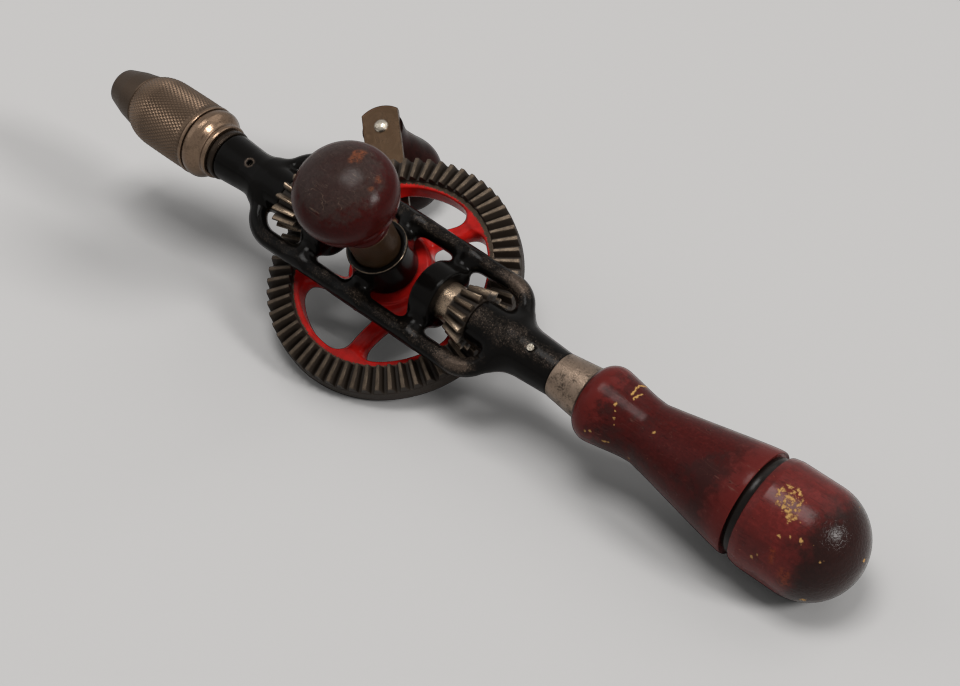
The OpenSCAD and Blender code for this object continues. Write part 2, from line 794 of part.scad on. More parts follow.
module side_knob_ferrule() {
    color(brown_steel)
        difference() {
            post(ferrule_bottom, side_wood_z - set_gap, side_ferrule_r);
            post(ferrule_bottom - cut_past, side_wood_z + cut_past, side_ferrule_r - side_ferrule_wall);
        }
}

module side_knob_stud() {
    color(bare_steel)
        post(stud_meet + end_gap, side_wood_z + side_knob_len / 2, stud_r);
}

module handle() {
    tenon_r1 = ferrule_r1 - ferrule_wall - set_gap;
    tenon_r2 = ferrule_r2 - ferrule_wall - set_gap;
    profile = smooth([[ferrule_r2 + wood_lip, wood_start],
                      [bulge_r - wood_lip, wood_start + 0.035 * grip_len],
                      [bulge_r, wood_start + 0.085 * grip_len],
                      [bulge_r - bulge_round, wood_start + 0.17 * grip_len],
                      [waist_r, wood_start + 0.33 * grip_len],
                      [waist_r + waist_rise, wood_start + 0.45 * grip_len],
                      [grip_end_r, wood_start + 0.95 * grip_len], [grip_end_r - grip_edge, grip_end]]);
    color(red_wood)
        difference() {
            union() {
                turned(concat([[0, wood_start]], profile, [[0, grip_end]]));
                turned([[0, grip_start], [tenon_r1, grip_start], [tenon_r2, wood_start],
                        [tenon_r2, wood_start + end_gap], [0, wood_start + end_gap]]);
            }
            rod(grip_start - cut_past, tail_end + tang_len + end_gap, tang_r + set_gap);
            rod(magazine_end, grip_end + cut_past, magazine_r);
        }
}

module handle_ferrule() {
    color(brown_steel)
        turned([[ferrule_r1 - ferrule_wall, grip_start], [ferrule_r1, grip_start],
                [ferrule_r2, wood_start - set_gap], [ferrule_r2 - ferrule_wall, wood_start - set_gap]]);
}

module handle_tang() {
    color(bare_steel)
        difference() {
            rod(tang_start, tail_end + tang_len, tang_r);
            translate([tail_end - tang_pin_set, 0, 0])
                post(-2 * tang_r, 2 * tang_r, cross_pin_r + set_gap);
        }
}

module tang_pin() {
    color(bare_steel)
        translate([tail_end - tang_pin_set, 0, 0])
            post(-tang_pin_half, tang_pin_half + end_gap, cross_pin_r);
}

module end_cap() {
    body_start = cap_start + groove_w;
    dome_start = cap_back - dome_len;
    color(red_wood) {
        turned(concat([[0, cap_start], [grip_end_r - groove_d, cap_start],
                       [grip_end_r - groove_d, body_start],
                       [cap_r - cap_edge, body_start], [cap_r, body_start + cap_edge_len]],
                      dome(cap_r, dome_start, dome_len)));
        rod(cap_start - spigot_len, cap_start + end_gap, magazine_r - run_gap);
    }
}

module chuck_body() {
    step_x = sleeve_back + end_gap;
    ring_top = sleeve_r - ring_edge;
    hollow = chuck_ring_back_r - ring_edge;
    ring = smooth([[ring_top - ring_edge, ring_front_x], [ring_top, ring_front_x + 0.12 * chuck_ring_len],
                   [ring_top - ring_edge / 2, ring_front_x + 0.32 * chuck_ring_len],
                   [ring_top - ring_step, ring_front_x + 0.5 * chuck_ring_len],
                   [hollow + ring_edge, ring_front_x + 0.64 * chuck_ring_len],
                   [hollow, ring_front_x + 0.74 * chuck_ring_len],
                   [chuck_ring_back_r, ring_front_x + 0.82 * chuck_ring_len],
                   [chuck_ring_back_r, ring_front_x + 0.93 * chuck_ring_len],
                   [chuck_ring_back_r - ring_edge, ring_rear_x]], 3);
    color(brown_steel)
        difference() {
            union() {
                rod(core_front, ring_front_x, core_r);
                turned(concat([[0, step_x], [core_r + ring_step, step_x], [core_r + ring_step, ring_front_x]],
                              ring, [[0, ring_rear_x]]));
            }
            rod(ring_rear_x - spindle_seat - end_gap, ring_rear_x + cut_past, spindle_r + set_gap);
            jaw_places()
                translate([core_front - cut_past, -jaw_r - end_gap, jaw_slot_in])
                    cube([jaw_slot + cut_past, 2 * (jaw_r + end_gap), core_r]);
        }
}

module chuck_sleeve() {
    barrel_front = sleeve_front + nose_len;
    cone_back = sleeve_front + (core_r + run_gap - mouth_r) / tan(jaw_slope);
    color(brown_steel)
        turned(concat([[mouth_r, sleeve_front], [nose_r - nose_edge, sleeve_front],
                       [nose_r, sleeve_front + nose_edge],
                       [nose_back_r, barrel_front]],
                      smooth([[nose_back_r + nose_edge, barrel_front + nose_edge / 2],
                              [nose_back_r + 0.6 * (sleeve_r - nose_back_r),
                               barrel_front + 0.4 * shoulder_len],
                              [sleeve_r, barrel_front + shoulder_len]]),
                      [[sleeve_r, sleeve_back - sleeve_edge], [sleeve_r - sleeve_edge, sleeve_back],
                       [core_r + run_gap, sleeve_back], [core_r + run_gap, cone_back]]));
}

module jaw_places() {
    for (i = [0 : jaws - 1])
        rotate([i * 360 / jaws, 0, 0])
            children();
}

// A rod that lies along the cone, with a wedge front that lets all three jaws close together
module chuck_jaw(turn) {
    far = 2 * sleeve_r;
    apex = jaw_travel * sin(jaw_slope) + jaw_meet;
    wedge = apex + far / tan(180 / jaws);
    color(bare_steel)
        rotate([turn, 0, 0])
            difference() {
                intersection() {
                    translate([sleeve_front, 0, mouth_r - end_gap / 2 - jaw_r / cos(jaw_slope)])
                        rotate([0, 90 - jaw_slope, 0])
                            translate([0, 0, -sleeve_len])
                                cylinder(h = 2 * sleeve_len, r = jaw_r);
                    rod(jaw_front, jaw_back, core_r - end_gap);
                    translate([sleeve_front, 0, 0])
                        rotate([90, 0, 90])
                            linear_extrude(height = sleeve_len)
                                polygon([[0, apex], [far, wedge], [-far, wedge]]);
                }
                rod(jaw_front - cut_past, jaw_back + cut_past, grip_r);
                rod(jaw_front + grip_face, jaw_back + cut_past, grip_r + jaw_relief);
            }
}

module chuck_jaw_1() { chuck_jaw(0); }
module chuck_jaw_2() { chuck_jaw(120); }
module chuck_jaw_3() { chuck_jaw(240); }

laid() frame();
laid() spindle();
laid() drive_pinion();
laid() drive_pinion_pin();
laid() idler_pinion();
laid() idler_axle();
laid() thrust_collar();
laid() drive_gear();
laid() gear_screw();
laid() crank_arm();
laid() crank_rivets();
laid() crank_knob();
laid() crank_knob_pin();
laid() side_knob();
laid() side_knob_ferrule();
laid() side_knob_stud();
laid() handle();
laid() handle_ferrule();
laid() handle_tang();
laid() tang_pin();
laid() end_cap();
laid() chuck_body();
laid() chuck_sleeve();
laid() chuck_jaw_1();
laid() chuck_jaw_2();
laid() chuck_jaw_3();
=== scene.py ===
import json
import math

import bmesh
import bpy
import numpy as np
from bpy.props import FloatProperty, FloatVectorProperty, IntProperty, PointerProperty
from mathutils import Matrix, Vector


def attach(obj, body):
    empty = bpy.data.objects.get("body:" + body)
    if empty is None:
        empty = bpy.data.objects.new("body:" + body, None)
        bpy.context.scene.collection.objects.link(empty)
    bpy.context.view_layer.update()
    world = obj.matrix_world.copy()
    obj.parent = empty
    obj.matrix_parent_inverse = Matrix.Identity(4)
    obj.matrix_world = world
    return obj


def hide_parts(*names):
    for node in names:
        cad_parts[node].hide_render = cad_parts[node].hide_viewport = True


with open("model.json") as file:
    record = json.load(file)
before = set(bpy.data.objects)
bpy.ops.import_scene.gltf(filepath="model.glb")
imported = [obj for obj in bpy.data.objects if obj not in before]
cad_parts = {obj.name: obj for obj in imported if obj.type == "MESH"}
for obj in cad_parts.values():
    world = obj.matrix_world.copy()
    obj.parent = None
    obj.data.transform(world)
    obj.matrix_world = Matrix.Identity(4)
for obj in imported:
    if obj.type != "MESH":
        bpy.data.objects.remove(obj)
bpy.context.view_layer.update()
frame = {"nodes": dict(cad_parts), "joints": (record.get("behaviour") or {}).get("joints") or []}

bl_info = {
    "name": "Hand Drill Dressing",
    "version": (1, 0, 0),
    "blender": (4, 5, 0),
    "location": "View3D > Sidebar > Hand Drill",
    "description": "Dresses the packed hand drill with castings, turned wood, cut gears, "
                   "a knurled chuck and their finishes",
    "category": "Object",
}

# The drill's own axes: x along the spindle to the handle, z along the gear axle to the side knob.
JOINTS = {joint["name"]: joint for joint in frame["joints"]}


def drill_axes():
    """Matrix from the drill's own axes, in metres, to the shared frame."""
    along = Vector(JOINTS["spindle_spin"]["axis"]).normalized()
    up = Vector(JOINTS["crank_turn"]["axis"]).normalized()
    turn = Matrix((along, up.cross(along), up)).transposed().to_4x4()
    turn.translation = Vector(JOINTS["crank_turn"]["pos_m"])
    return turn


AXES = drill_axes()
PLACE = AXES @ Matrix.Scale(0.001, 4)

# Sizes that the solids already fix, in millimetres.
GEAR_R, GEAR_IN, RIM_R = 52.5, 42.4, 52.7
RIM_Z, LIP_Z, HUB_TOP = -20.44, -12.02, -7.5
GEAR_TEETH, PINION_TEETH = 62, 14
MODULE_SLOPE = 2 / GEAR_TEETH
PITCH_SLOPE = PINION_TEETH / GEAR_TEETH
ROOT_SLOPE = PITCH_SLOPE + 1.35 * MODULE_SLOPE
PINION_IN, PINION_OUT, HUB_END = 40.5, 50.5, 26.3
CRANK_TOP, CRANK_BOTTOM, CRANK_ANGLE, CRANK_R = -23.04, -25.24, math.radians(137.1), 78.7
NECK_FRONT, TAIL_END, OIL_HOLE, TANG_PIN = -88.3, 90.9, -72.6, 78.9
SLEEVE_FRONT, SLEEVE_BACK, BARREL_FRONT, CONE_BACK = -156.0, -103.2, -139.4, -138.5
COLLAR_FRONT, COLLAR_BACK = -91.9, -88.6
GRIP_START, WOOD_START, GRIP_END, CAP_START, CAP_BACK = 90.92, 106.02, 178.62, 178.64, 223.04
HOLLOW_END, TANG_END = 120.62, 115.2
SEAT, SIDE_WOOD, SIDE_TOP = 8.42, 25.8, 66.0


# Frame casting, in the drill's own axes
RAIL_Y, RAIL_R = 20, 3.7
REAR_BEND, REAR_CORNER, FRONT_BEND, FRONT_CORNER = 12.0, 51.8, 15.0, 46.6
NECK_BACK, TAIL_FRONT = -50.8, 50.8
NECK_PROFILE = (NECK_FRONT, -75.4, -69.8, -62.4, -55), (10.3, 9.4, 9.4, 9.6, 9.4)
TAIL_PROFILE = (TAIL_FRONT, 64, 73.5, TAIL_END), (9.4, 9.8, 10.0, 9.0)
CROSS_BARS = (-29.3, 3.2), (0.0, 4.0), (29.3, 3.2)
BEARING_RINGS, RING_R = ((-34.3, -24.3), (24.3, 34.3)), 12.5
BOSS_R, BOSS_LOW, BOSS_HIGH = 12.5, -7.2, 10.4
FRAME_LOW, FRAME_HIGH = (-89.5, -25.0, -13.4), (92.2, 25.0, 13.4)
LONG_BORES = ((6.05, -94.0, -49.8), (8.05, -35.3, -26.0), (8.05, 26.0, 35.3), (4.02, 49.8, 67.1),
              (5.42, 72.6, 93.0))
SEAT_R, PIN_BORE, OIL_R = 10.0, 1.42, 1.2
NO_SOLID = 99.0

# Gear spokes
SPOKES, FIRST_SPOKE, SPOKE_BEND, SPOKE_CENTRE, SPOKE_HALF = 5, -4, 40.0, 40.9, 3.6
LIP_MIDDLE, LIP_HALF, HUB_R, AXLE_BORE = 41.2, 1.8, 17.0, 5.05

# Tooth form
PRESSURE_ANGLE, BACKLASH = math.radians(20), 0.0443

# Tones of the finishes beside the colours that a user would change
# Dark red for dirt and painted shade in the gear's hollows.
GRIME_AND_SHADE_RED = (0.09, 0.006, 0.005)
SOOT, SEAM = (0.003, 0.002, 0.002), (0.008, 0.004, 0.004)
BURNT_END, GROOVE_DIRT = (0.024, 0.009, 0.007), (0.014, 0.010, 0.008)
HANDLE_NICK, HANDLE_SCRATCH = (0.010, 0.003, 0.003), (0.15, 0.06, 0.045)
CAP_ORANGE, KNOB_ORANGE = (0.22, 0.04, 0.012), (0.20, 0.06, 0.025)
KNOB_SCRATCH, KNOB_SCUFF = (0.17, 0.11, 0.08), (0.13, 0.09, 0.07)
KNOB_SHADE, KNOB_RED = (0.010, 0.0015, 0.0015), (0.055, 0.004, 0.003)
# The crank knob's wood tone is its own dark red-brown, darkened further by painted shade.
CRANK_WOOD_AND_SHADE, CRANK_PATCH, CRANK_SCRATCH = (0.008, 0.0028, 0.0022), (0.022, 0.004, 0.003), (0.05, 0.022, 0.015)
PIN_LIGHT, PIN_DARK = (0.62, 0.57, 0.49), (0.30, 0.25, 0.19)
COLLAR_STAIN, FERRULE_STAIN = (0.010, 0.007, 0.005), (0.035, 0.025, 0.018)

# Stage, in metres and watts
PALE = (0.58, 0.57, 0.56, 1)
FLOOR_HALF, FLOOR_Z = 6, -0.0006
AIR_TONE, AIR_LEVEL = (0.95, 0.97, 1.0, 1), 0.18
LAMP_AIM = (0, 0, 0.03)
LAMPS = (
    ("key", (0.35, 0.70, 0.95), 0.90, 2.2, (1.0, 0.98, 0.95)),
    ("top", (0.0, -0.14, 1.2), 0.50, 7.6, (1.0, 0.99, 0.97)),
    ("side", (1.0, 0.10, 0.70), 0.27, 7.5, (1.0, 0.98, 0.96)),
    ("fill", (-0.8, -0.5, 0.8), 0.9, 1.2, (0.96, 0.98, 1.0)),
)
LENS_MM, SENSOR_MM, CLIP_START = 63.786, 36.0, 0.01
CAMERA_RIGHT = (0.75098, 0.66032, 0.0033)
CAMERA_UP = (-0.42566, 0.48026, 0.76692)
CAMERA_BACK = (0.50483, -0.57734, 0.64174)
CAMERA_AT = (0.349248, -0.404499, 0.447714)


def measure(name, description, default, low, high):
    """A size in millimetres with its default and limits."""
    return FloatProperty(name=name, description=description + ", in millimetres", default=default,
                         min=low, max=high)


class DrillSizes(bpy.types.PropertyGroup):
    """Sizes of the dressing that a user would change."""

    knurl_pitch: measure("Knurl Pitch", "Width of one diamond of the chuck's knurl", 1.6, 0.8, 2.0)
    knurl_lead: measure("Knurl Lead", "Length of one diamond of the chuck's knurl", 2.58, 1.0, 4.0)
    knurl_depth: measure("Knurl Depth", "Height of the chuck's knurl", 0.38, 0.1, 0.6)
    casting_cell: measure("Casting Cell", "Size of one face on the castings", 0.5, 0.4, 1.0)
    tooth_edge: measure("Tooth Edge", "Worn edge of a gear tooth", 0.16, 0.05, 0.3)
    turning_sides: IntProperty(
        name="Turning Sides", description="Faces round a turned piece", default=144, min=48, max=256)
    fillet: measure("Casting Fillet", "Fillet where the frame's arms meet its rails", 5.0, 2.0, 8.0)


def paint(name, description, default):
    """A colour property with its default."""
    return FloatVectorProperty(name=name, description=description, subtype="COLOR", size=3, min=0, max=1,
                               default=default)


class DrillColours(bpy.types.PropertyGroup):
    """Colours of the dressing that a user would change."""

    japan: paint("Black Japan", "Enamel of the frame", (0.0028, 0.0024, 0.0021))
    worn_iron: paint("Worn Iron", "Iron where the enamel has worn through", (0.060, 0.044, 0.034))
    red: paint("Red Enamel", "Enamel of the gear's spokes and lip", (0.46, 0.011, 0.008))
    steel: paint("Cut Steel", "Bare steel of the teeth", (0.140, 0.104, 0.074))
    grease: paint("Old Grease", "Grease between the teeth", (0.016, 0.010, 0.006))
    chuck: paint("Tarnished Chuck", "Tarnished steel of the chuck's barrel", (0.152, 0.102, 0.069))
    chuck_nose: paint("Chuck Nose", "Dull steel of the chuck's nose", (0.056, 0.039, 0.028))
    crank: paint("Crank Steel", "Tarnished strip of the crank", (0.076, 0.045, 0.025))
    ferrule: paint("Ferrule Steel", "Scuffed steel of the handle's ferrule", (0.24, 0.175, 0.13))
    knob_ferrule: paint("Knob Ferrule", "Browned steel of the side knob's ferrule", (0.048, 0.024, 0.010))
    lacquer: paint("Red Lacquer", "Stained and lacquered handle", (0.064, 0.0080, 0.0068))
    old_lacquer: paint("Old Lacquer", "Lacquer darkened by hands", (0.026, 0.0085, 0.0075))
    # Painted sheen: this grey-purple tone is the knob's worn lacquer, and it also stands in for the overhead
    # sheen on its top.
    knob: paint("Dark Lacquer", "Darkened lacquer of the side knob", (0.044, 0.027, 0.0235))
    bare_wood: paint("Bare Wood", "Wood under chipped lacquer", (0.50, 0.28, 0.09))


def sizes():
    return bpy.context.scene.drill_sizes


def colours():
    return bpy.context.scene.drill_colours


# Shapes


def smooth(points, steps=8):
    """A smooth curve through the points."""
    p = np.array(points, float)
    out = []
    for i in range(len(p) - 1):
        a, b, c, d = p[max(i - 1, 0)], p[i], p[i + 1], p[min(i + 2, len(p) - 1)]
        for t in np.arange(steps) / steps:
            out.append((2 * b + (c - a) * t + (2 * a - 5 * b + 4 * c - d) * t ** 2
                        + (3 * b - a - 3 * c + d) * t ** 3) / 2)
    return [tuple(q) for q in out] + [tuple(p[-1])]


def rounded(corners, steps=5):
    """A profile of corners [radius, distance, fillet], each turned into a short curve."""
    out = []
    for i, (r, a, fillet) in enumerate(corners):
        p = np.array((r, a), float)
        if fillet <= 0 or i in (0, len(corners) - 1):
            out.append((r, a))
            continue
        u = np.array(corners[i - 1][:2]) - p
        v = np.array(corners[i + 1][:2]) - p
        lu, lv = np.linalg.norm(u), np.linalg.norm(v)
        half = math.acos(max(-1, min(1, float(u @ v) / lu / lv))) / 2
        reach = min(fillet / math.tan(half), 0.49 * lu, 0.49 * lv)
        for t in np.arange(steps + 1) / steps:
            q = (1 - t) ** 2 * (p + u / lu * reach) + 2 * t * (1 - t) * p + t ** 2 * (p + v / lv * reach)
            out.append(tuple(q))
    return out


def dome(r, start, length, steps=16):
    """Quarter of an ellipse from the side to the end of a turned piece."""
    return [(r * math.cos(math.pi / 2 * k / steps), start + length * math.sin(math.pi / 2 * k / steps))
            for k in range(steps + 1)]


def turned(profile, axis="X", centre=(0.0, 0.0), ring=False):
    """Points and faces of a turned shape from [radius, distance along the axis]."""
    n = sizes().turning_sides
    angle = np.arange(n) * 2 * math.pi / n
    points, rows = [], []
    for r, a in profile:
        if r < 1e-6:
            rows.append([len(points)])
            points.append((a, 0, 0) if axis == "X" else (centre[0], centre[1], a))
            continue
        rows.append(list(range(len(points), len(points) + n)))
        c, s = r * np.cos(angle), r * np.sin(angle)
        if axis == "X":
            points.extend(zip(np.full(n, a), c, s))
        else:
            points.extend(zip(centre[0] + c, centre[1] + s, np.full(n, a)))
    faces = []
    pairs = list(zip(rows, rows[1:])) + ([(rows[-1], rows[0])] if ring else [])
    for low, high in pairs:
        if len(low) == 1 and len(high) == 1:
            continue
        for i in range(n):
            j = (i + 1) % n
            if len(low) == 1:
                faces.append((low[0], high[j], high[i]))
            elif len(high) == 1:
                faces.append((low[i], low[j], high[0]))
            else:
                faces.append((low[i], low[j], high[j], high[i]))
    return points, faces


def mesh_of(name, shape, sharp=32.0):
    """A mesh in the drill's own axes, in millimetres, with its faces turned outwards."""
    mesh = bpy.data.meshes.new(name)
    mesh.from_pydata([tuple(map(float, p)) for p in shape[0]], [], shape[1])
    work = bmesh.new()
    work.from_mesh(mesh)
    bmesh.ops.recalc_face_normals(work, faces=work.faces)
    work.to_mesh(mesh)
    work.free()
    mesh.shade_smooth()
    mesh.set_sharp_from_angle(angle=math.radians(sharp))
    return mesh


def piece(name, mesh, finish, body, nodes=()):
    """Puts a mesh of the drill's own axes into the shared frame and rides it on its body."""
    mesh.transform(PLACE)
    mesh.materials.clear()
    mesh.materials.append(finish)
    obj = bpy.data.objects.new(name, mesh)
    bpy.context.scene.collection.objects.link(obj)
    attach(obj, body)
    if nodes:
        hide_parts(*nodes)
    return obj


def lathe(name, shape, finish, body, node):
    """Puts a turned shape in the place of one solid."""
    return piece(name, mesh_of(name, shape), finish, body, (node,))


def repeated(name, shape, count, axis, finish, edge):
    """One shape repeated round an axis by a node tree, made a plain mesh in the drill's own axes."""
    tree = bpy.data.node_groups.new(name, "GeometryNodeTree")
    sockets = tree.interface
    sockets.new_socket("Geometry", in_out="INPUT", socket_type="NodeSocketGeometry")
    given_in = [sockets.new_socket(label, in_out="INPUT", socket_type="NodeSocket" + kind)
                for label, kind in (("Count", "Int"), ("Axis", "Vector"), ("Finish", "Material"))]
    sockets.new_socket("Geometry", in_out="OUTPUT", socket_type="NodeSocketGeometry")
    given, made, places, index, share, whole, spin, copies, real, coating = map(tree.nodes.new, (
        "NodeGroupInput", "NodeGroupOutput", "GeometryNodePoints", "GeometryNodeInputIndex", "ShaderNodeMath",
        "ShaderNodeMath", "FunctionNodeAxisAngleToRotation", "GeometryNodeInstanceOnPoints",
        "GeometryNodeRealizeInstances", "GeometryNodeSetMaterial"))
    share.operation, whole.operation = "DIVIDE", "MULTIPLY"
    whole.inputs[1].default_value = 2 * math.pi
    for source, output, target, socket in (
            (given, "Count", places, "Count"), (index, 0, share, 0), (given, "Count", share, 1),
            (share, 0, whole, 0), (given, "Axis", spin, "Axis"), (whole, 0, spin, "Angle"),
            (places, 0, copies, "Points"), (given, "Geometry", copies, "Instance"),
            (spin, 0, copies, "Rotation"), (copies, 0, real, 0), (real, 0, coating, "Geometry"),
            (given, "Finish", coating, "Material"), (coating, 0, made, 0)):
        tree.links.new(source.outputs[output], target.inputs[socket])
    base = mesh_of(name, shape, sharp=20)
    work = bmesh.new()
    work.from_mesh(base)
    bmesh.ops.bevel(work, geom=list(work.edges), offset=edge, segments=1, affect="EDGES", clamp_overlap=True)
    work.to_mesh(base)
    work.free()
    holder = bpy.data.objects.new(name, base)
    bpy.context.scene.collection.objects.link(holder)
    modifier = holder.modifiers.new("Repeat", "NODES")
    modifier.node_group = tree
    for socket, value in zip(given_in, (count, axis, finish)):
        modifier[socket.identifier] = value
    graph = bpy.context.evaluated_depsgraph_get()
    mesh = bpy.data.meshes.new_from_object(holder.evaluated_get(graph), depsgraph=graph)
    holder.modifiers.remove(modifier)
    bpy.data.objects.remove(holder)
    bpy.data.meshes.remove(base)
    bpy.data.node_groups.remove(tree)
    mesh.name = name
    return mesh


def merged(name, *meshes):
    """Several meshes of the drill's own axes as one."""
    work = bmesh.new()
    for mesh in meshes:
        work.from_mesh(mesh)
    whole = bpy.data.meshes.new(name)
    work.to_mesh(whole)
    work.free()
    return whole


def blend(a, b, k):
    """Smooth union of two distance fields."""
    h = np.maximum(k - np.abs(a - b), 0) / k
    return np.minimum(a, b) - h * h * k / 4


def carve(a, cut, k=0.4):
    """A distance field with another one cut out of it."""
    return -blend(-a, cut, k)


def capped(radial, along, low, high, r=0.6):
    """Distance to a round bar with rounded end edges."""
    end = np.maximum(low - along, along - high)
    u, v = radial + r, end + r
    return np.minimum(np.maximum(u, v), 0) + np.hypot(np.maximum(u, 0), np.maximum(v, 0)) - r


def skin(field, low, high, cell):
    """Closed skin of a distance field: one vertex in each crossed cell, one quad on each crossed edge."""
    axes = [np.arange(low[i], high[i] + cell, cell) for i in range(3)]
    value = field(*np.meshgrid(*axes, indexing="ij"))
    n = np.array(value.shape)
    total = np.zeros((*(n - 1), 3))
    count = np.zeros(n - 1)
    crossings = []
    for d in range(3):
        first = [slice(None)] * 3
        second = [slice(None)] * 3
        first[d], second[d] = slice(None, -1), slice(1, None)
        a, b = value[tuple(first)], value[tuple(second)]
        crossed = (a < 0) != (b < 0)
        where = np.argwhere(crossed)
        t = a[crossed] / (a[crossed] - b[crossed])
        at = where.astype(float)
        at[:, d] += t
        crossings.append((where, a[crossed] < 0))
        o1, o2 = [k for k in range(3) if k != d]
        for s1 in (0, 1):
            for s2 in (0, 1):
                home = where.copy()
                home[:, o1] -= s1
                home[:, o2] -= s2
                good = np.all((home >= 0) & (home < n - 1), axis=1)
                index = tuple(home[good].T)
                np.add.at(total, index, at[good])
                np.add.at(count, index, 1)
    used = count > 0
    number = np.full(n - 1, -1)
    number[used] = np.arange(used.sum())
    points = total[used] / count[used][:, None] * cell + np.array([axis[0] for axis in axes])
    faces = []
    for d, (where, opens) in enumerate(crossings):
        o1, o2 = (d + 1) % 3, (d + 2) % 3
        ring = []
        for s1, s2 in ((1, 1), (0, 1), (0, 0), (1, 0)):
            home = where.copy()
            home[:, o1] -= s1
            home[:, o2] -= s2
            ring.append(number[tuple(np.clip(home, 0, n - 2).T)])
        quads = np.stack(ring, 1)
        quads[~opens] = quads[~opens][:, ::-1]
        faces.append(quads)
    return points, np.concatenate(faces)


def casting(name, field, low, high, cell, wear):
    """A cast piece from its distance field, with the wear attributes that a function of its points gives."""
    points, quads = skin(field, low, high, cell)
    near = np.zeros_like(points)
    count = np.zeros(len(points))
    for k in range(4):
        a, b = quads[:, k], quads[:, (k + 1) % 4]
        for i, j in ((a, b), (b, a)):
            np.add.at(near, i, points[j])
            np.add.at(count, i, 1)
    offset = points - near / count[:, None]
    normal = np.zeros_like(points)
    face_normal = np.cross(points[quads[:, 2]] - points[quads[:, 0]],
                           points[quads[:, 3]] - points[quads[:, 1]])
    for k in range(4):
        np.add.at(normal, quads[:, k], face_normal)
    normal /= np.linalg.norm(normal, axis=1)[:, None] + 1e-9
    bulge = (offset * normal).sum(1)
    for _ in range(6):
        total = np.zeros(len(points))
        for k in range(4):
            a, b = quads[:, k], quads[:, (k + 1) % 4]
            np.add.at(total, a, bulge[b])
            np.add.at(total, b, bulge[a])
        bulge = 0.5 * bulge + 0.5 * total / count
    mesh = bpy.data.meshes.new(name)
    mesh.from_pydata(points.tolist(), [], quads.tolist())
    mesh.shade_smooth()
    for key, values in wear(points, normal, bulge / cell).items():
        mesh.attributes.new(key, "FLOAT", "POINT").data.foreach_set("value", values.astype(np.float32))
    return mesh


# Finishes


